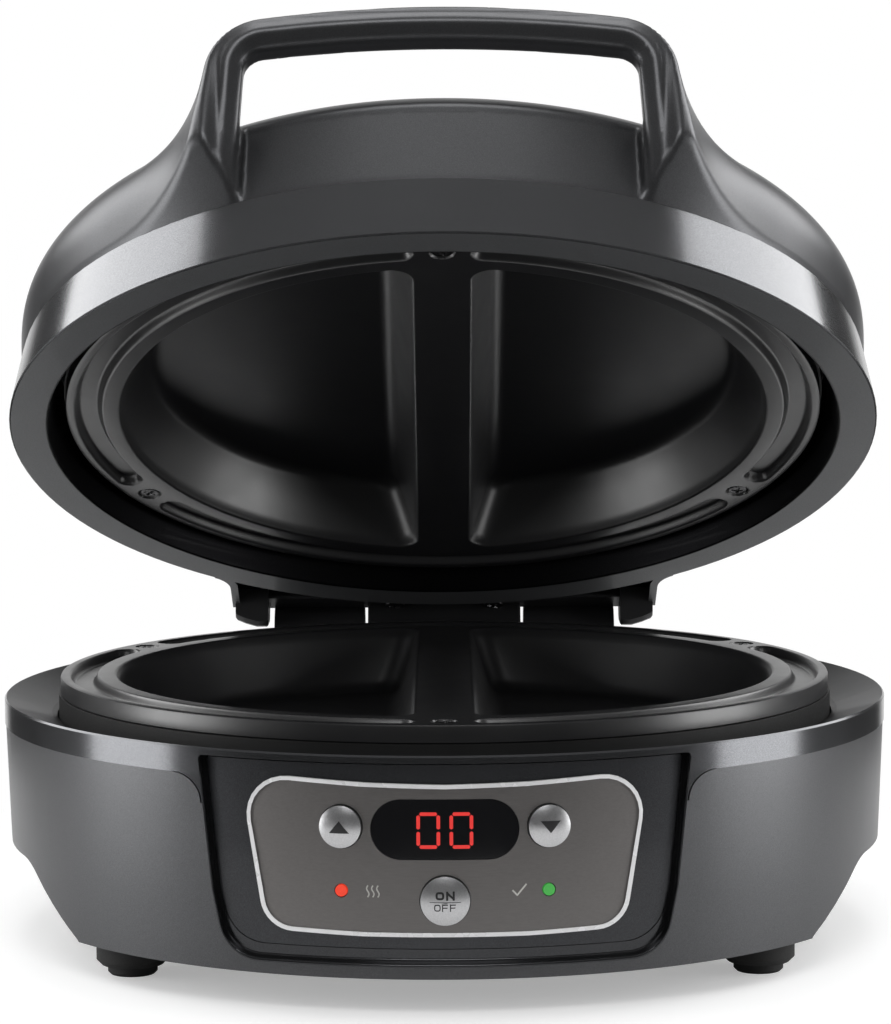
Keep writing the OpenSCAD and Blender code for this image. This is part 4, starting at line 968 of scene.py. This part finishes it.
def screw_heads(name, places, r, height, body):
    """Pan heads with a cross recess. Each place is the recess's turn and a function that puts [x, y, up]
    of the head into the row frame."""
    verts, faces = [], []
    rings, n = 22, 72
    for turn, place in places:
        k = len(verts)
        c, s = math.cos(turn), math.sin(turn)

        def level(x, y):
            q = math.hypot(x, y) / r
            u, v = abs(x * c + y * s), abs(y * c - x * s)
            arm = min(max(u - 0.60 * r, v - 0.13 * r), max(v - 0.60 * r, u - 0.13 * r))
            deep = min(1.0, max(0.0, 0.5 - arm / 0.16))
            return height * (1 - 0.22 * q * q - 15 * max(0.0, q - 0.86) ** 2 - 0.62 * deep)

        verts.append(place(0.0, 0.0, level(0, 0)))
        for j in range(1, rings + 1):
            q = r * j / rings
            for i in range(n):
                x, y = polar(q, 360 * i / n)
                verts.append(place(x, y, level(x, y)))
        verts += [place(*polar(r, 360 * i / n), 0.0) for i in range(n)]
        faces += [(k, k + 1 + i, k + 1 + (i + 1) % n) for i in range(n)]
        for j in range(rings):
            a, b = k + 1 + j * n, k + 1 + (j + 1) * n
            faces += [(a + i, b + i, b + (i + 1) % n, a + (i + 1) % n) for i in range(n)]
        faces.append(tuple(k + 1 + rings * n + i for i in range(n)))
    return shade(mesh_object(name, verts, faces, BLACKEN, body), 32)


def on_lower(sx, sy):
    return lambda x, y, up: lower_place(sx + x, sy + y, up - SCREW_SINK)


def on_upper(sx, sy):
    return lambda x, y, up: upper_place(sx + x, sy - y, up - SCREW_SINK)


def on_bracket(sx):
    return lambda x, y, up: Vector((sx + x, *opened(135.65 - y, BRACKET_LOW - up)))


seats = [polar(SCREW_R0, a) for a in SCREW_ANGLES]
below = [(0.3 + i, on_lower(*seat)) for i, seat in enumerate(seats)]
above = [(0.5 + i, on_upper(*seat)) for i, seat in enumerate(seats)]
behind = [(0.4 + sx, on_bracket(sx)) for sx in (-16.4, 16.4)]
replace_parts(screw_heads("lower_screw_heads", below, 3.1, 1.1, "base"), "lower_plate_screws")
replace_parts(screw_heads("upper_screw_heads", above, 3.1, 1.1, "lid"), "upper_plate_screws")
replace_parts(screw_heads("bracket_screw_heads", behind, 3.2, 1.5, "lid"), "bracket_screws")

# ---------------------------------------------------------------- bezel round the panel
PANEL_LOW = 18.1
PANEL_R, PANEL_BACK, SHELL_R = 127.0, 124.6, 129.7
FRAME_W, FRAME_DROP = 2.1, 4.5  # the bezel's width at the sides and under the panel


def arc(p0, p1, p2, r, n):
    """The corner p1 between p0 and p2, rounded with radius r, in n steps."""
    a = np.array(p0) - p1
    b = np.array(p2) - p1
    a, b = a / np.linalg.norm(a), b / np.linalg.norm(b)
    half = math.acos(float(a @ b)) / 2
    c = np.array(p1) + (a + b) / np.linalg.norm(a + b) * r / math.sin(half)
    t0, t1 = np.array(p1) + a * r / math.tan(half), np.array(p1) + b * r / math.tan(half)
    a0 = math.atan2(t0[1] - c[1], t0[0] - c[0])
    turn = math.atan2(t1[1] - c[1], t1[0] - c[0]) - a0
    turn -= math.tau * round(turn / math.tau)
    steps = [a0 + turn * i / n for i in range(n + 1)]
    return [c + r * np.array((math.cos(t), math.sin(t))) for t in steps]


def bezel_line(grow, drop, top):
    """Right upper end, down, along the bottom and up to the left upper end, [x, z]."""
    right = [(64.3 + grow, PANEL_TOP + grow / 4, 0), (60.7 + grow, PANEL_LOW + 14, 20),
             (57 + grow, PANEL_LOW - drop, 11)]
    left = [(-x, z, r) for x, z, r in reversed(right)]
    c = right + left

    def cut(p, q):
        return (p[0] + (q[0] - p[0]) * (p[1] - top) / (p[1] - q[1]), top)

    ends = [cut(c[0], c[1]), cut(c[-1], c[-2])]
    line = [np.array(ends[0])]
    for i in range(1, 5):
        line += arc(c[i - 1][:2], c[i][:2], c[i + 1][:2], c[i][2], 18)
    return line + [np.array(ends[1])]


def under(r):
    """Height of the deck's sloping underside at radius r, less a running gap."""
    return DECK_Z - 1.6 - 5.6 * (BODY_R - r) / (BODY_R - 114.6) - 0.15


def bezel_row(share, r, rise_r, guide):
    """A row of points on the cylinder of radius r, at a share of the bezel's width. rise_r is the radius
    at which the deck cuts it off, and guide is the line that the steps are counted on."""
    grow, drop, top = FRAME_W * share, FRAME_DROP * share, under(rise_r)
    line = bezel_line(grow, drop, top)
    out = []
    for i in range(len(line) - 1):
        n = max(1, math.ceil(np.linalg.norm(guide[i + 1] - guide[i]) / 1.6))
        out += [line[i] + (line[i + 1] - line[i]) * k / n for k in range(n)]
    out.append(line[-1])
    return [(p[0], CENTRE_Y - math.sqrt(r * r - p[0] ** 2), p[1]) for p in out]


def make_bezel():
    guide = bezel_line(0, 0, under(PANEL_R))
    rows = []
    # Front face from the panel's edge out to the shell, as a soft step
    for k in range(21):
        u = k / 20
        v = min(1.0, max(0.0, (u - 0.58) / 0.30))
        rise = v * v * (3 - 2 * v)
        r = PANEL_R + 0.1 + (SHELL_R - 0.2 - PANEL_R - 0.1) * rise
        rows.append(bezel_row(u, r, PANEL_R + (SHELL_R - PANEL_R) * rise, guide))
    rows.append(bezel_row(1, PANEL_BACK, PANEL_BACK, guide))
    rows.append(bezel_row(0, PANEL_BACK, PANEL_BACK, guide))
    n, m = len(rows[0]), len(rows)
    verts = [p for row in rows for p in row]
    faces = []
    for k in range(m):
        a, b = k * n, ((k + 1) % m) * n
        faces += [(a + i, a + i + 1, b + i + 1, b + i) for i in range(n - 1)]
    faces += [tuple(k * n for k in range(m)), tuple(k * n + n - 1 for k in reversed(range(m)))]
    return shade(mesh_object("front_bezel_skin", verts, faces, BAND, "base"), 50)


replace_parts(make_bezel(), "front_bezel")

# ---------------------------------------------------------------- stage, light, camera
# Floor: pale and plain. It turns into the white of the backdrop away from the object.
FLOOR_R = 0.36
FLOOR_LIFT = 0.36  # lifts the floor to near white for the camera, and leaves the object's shadow
FADE_FROM, FADE_TO = 0.10, 0.24
floor_mat = Mat("floor").set(rough=0.6, spec=0.2)
floor_mat.to(floor_mat.mix(floor_mat.noise(3.0), (0.80, 0.80, 0.80), (0.84, 0.84, 0.84)), "Base Color")
view_ray, _, clear_ray = floor_mat.backdrop_rays()
seen = floor_mat.calc(view_ray, clear_ray, "MAXIMUM")
span = floor_mat.vector_math("LENGTH", floor_mat.coords())
away = floor_mat.smooth(span.outputs["Value"], FADE_FROM, FADE_TO)
white = floor_mat.n.new("ShaderNodeEmission")
ground = floor_mat.blend(
    floor_mat.calc(away, seen, "MULTIPLY"), floor_mat.b.outputs[0], white.outputs[0])
floor_mat.l.new(ground, floor_mat.n["Material Output"].inputs["Surface"])
floor_mat.set(emit=(1.0, 1.0, 1.0))
floor_mat.to(floor_mat.calc(seen, FLOOR_LIFT, "MULTIPLY"), "Emission Strength")
rim = [(*polar(FLOOR_R, 360 * i / 96), 0.0) for i in range(96)]
floor_me = bpy.data.meshes.new("floor")
floor_me.from_pydata(rim, [], [tuple(range(96))])
floor = bpy.data.objects.new("floor", floor_me)
bpy.context.scene.collection.objects.link(floor)
floor_me.materials.append(floor_mat.m)


class WorldNodes(Mat):
    """The same helpers on the world's nodes."""

    def __init__(self, tree):
        self.n, self.l = tree.nodes, tree.links

    def background(self, strength):
        x = self.node("ShaderNodeBackground", Color=(1, 1, 1, 1))
        if isinstance(strength, float):
            x.inputs["Strength"].default_value = strength
        else:
            self.l.new(strength, x.inputs["Strength"])
        return x.outputs[0]


# World: even light on matt surfaces, a white backdrop for the camera, and in reflections a studio that is
# white behind the object, grey beside and above it, and dark in front
WORLD_EVEN, WORLD_DARK, WORLD_BESIDE, WORLD_ABOVE = 0.36, 0.06, 0.22, 0.30
world = bpy.data.worlds.new("studio")
bpy.context.scene.world = world
world.use_nodes = True
w = WorldNodes(world.node_tree)
w.n.remove(w.n["Background"])
look = w.n.new("ShaderNodeTexCoord")
part = w.n.new("ShaderNodeSeparateXYZ")
w.l.new(look.outputs["Generated"], part.inputs[0])
across = w.calc(part.outputs["X"], 0.0, "ABSOLUTE")
back = w.smooth(part.outputs["Y"], 0.88, 0.97)
sides = w.calc(w.smooth(across, 0.60, 0.98), WORLD_BESIDE, "MULTIPLY")
ceiling = w.calc(w.smooth(part.outputs["Z"], 0.35, 0.95), WORLD_ABOVE, "MULTIPLY")
mirror = w.calc(w.calc(w.calc(back, sides, "MAXIMUM"), ceiling, "MAXIMUM"), WORLD_DARK, "MAXIMUM")
view_ray, gloss_ray, clear_ray = w.backdrop_rays()
studio = w.blend(
    w.calc(gloss_ray, clear_ray, "MAXIMUM"), w.background(WORLD_EVEN), w.background(mirror))
w.l.new(w.blend(view_ray, studio, w.background(1.0)), w.n["World Output"].inputs["Surface"])


def area(name, loc, target, size, power, size_y=None):
    d = bpy.data.lights.new(name, "AREA")
    d.energy = power
    d.shape = "RECTANGLE"
    d.size = size
    d.size_y = size_y or size
    o = bpy.data.objects.new(name, d)
    o.location = loc
    o.rotation_euler = (Vector(target) - Vector(loc)).to_track_quat("-Z", "Y").to_euler()
    bpy.context.scene.collection.objects.link(o)


for sx, name in ((-1, "left"), (1, "right")):
    area(name + "_low", (sx * 0.62, -0.13, 0.11), (0, -0.05, 0.08), 0.30, 1.7, 0.40)
    area(name + "_high", (sx * 0.60, 0.28, 0.54), (0, 0.0, 0.16), 0.44, 2.3, 0.42)
area("front", (0.0, -0.80, 0.90), (0, 0, 0.1), 0.60, 2.9, 0.36)
area("top", (0, 0.26, 1.2), (0, 0.0, 0.1), 0.7, 4.0)

# Camera, solved from the photograph: focal length in its pixels, its long side and the tilt below level
FOCAL_PX, FRAME_PX, DOWN = 3904.0, 1024.0, 5.44
cam_data = bpy.data.cameras.new("camera")
cam = bpy.data.objects.new("camera", cam_data)
bpy.context.scene.collection.objects.link(cam)
cam_data.sensor_width = 36.0
cam_data.lens = FOCAL_PX / FRAME_PX * cam_data.sensor_width
cam_data.clip_start = 0.05
cam_data.clip_end = 20.0
cam.matrix_world = (
    Matrix.Translation((0.0006, -1.1512 + CENTRE_Y * MM, (156.2 + LIP) * MM))
    @ Matrix.Rotation(math.radians(90.0 - DOWN), 4, "X")
    @ Matrix.Rotation(-0.005, 4, "Z")
)
bpy.context.scene.camera = cam
bpy.context.scene.view_settings.view_transform = "Standard"
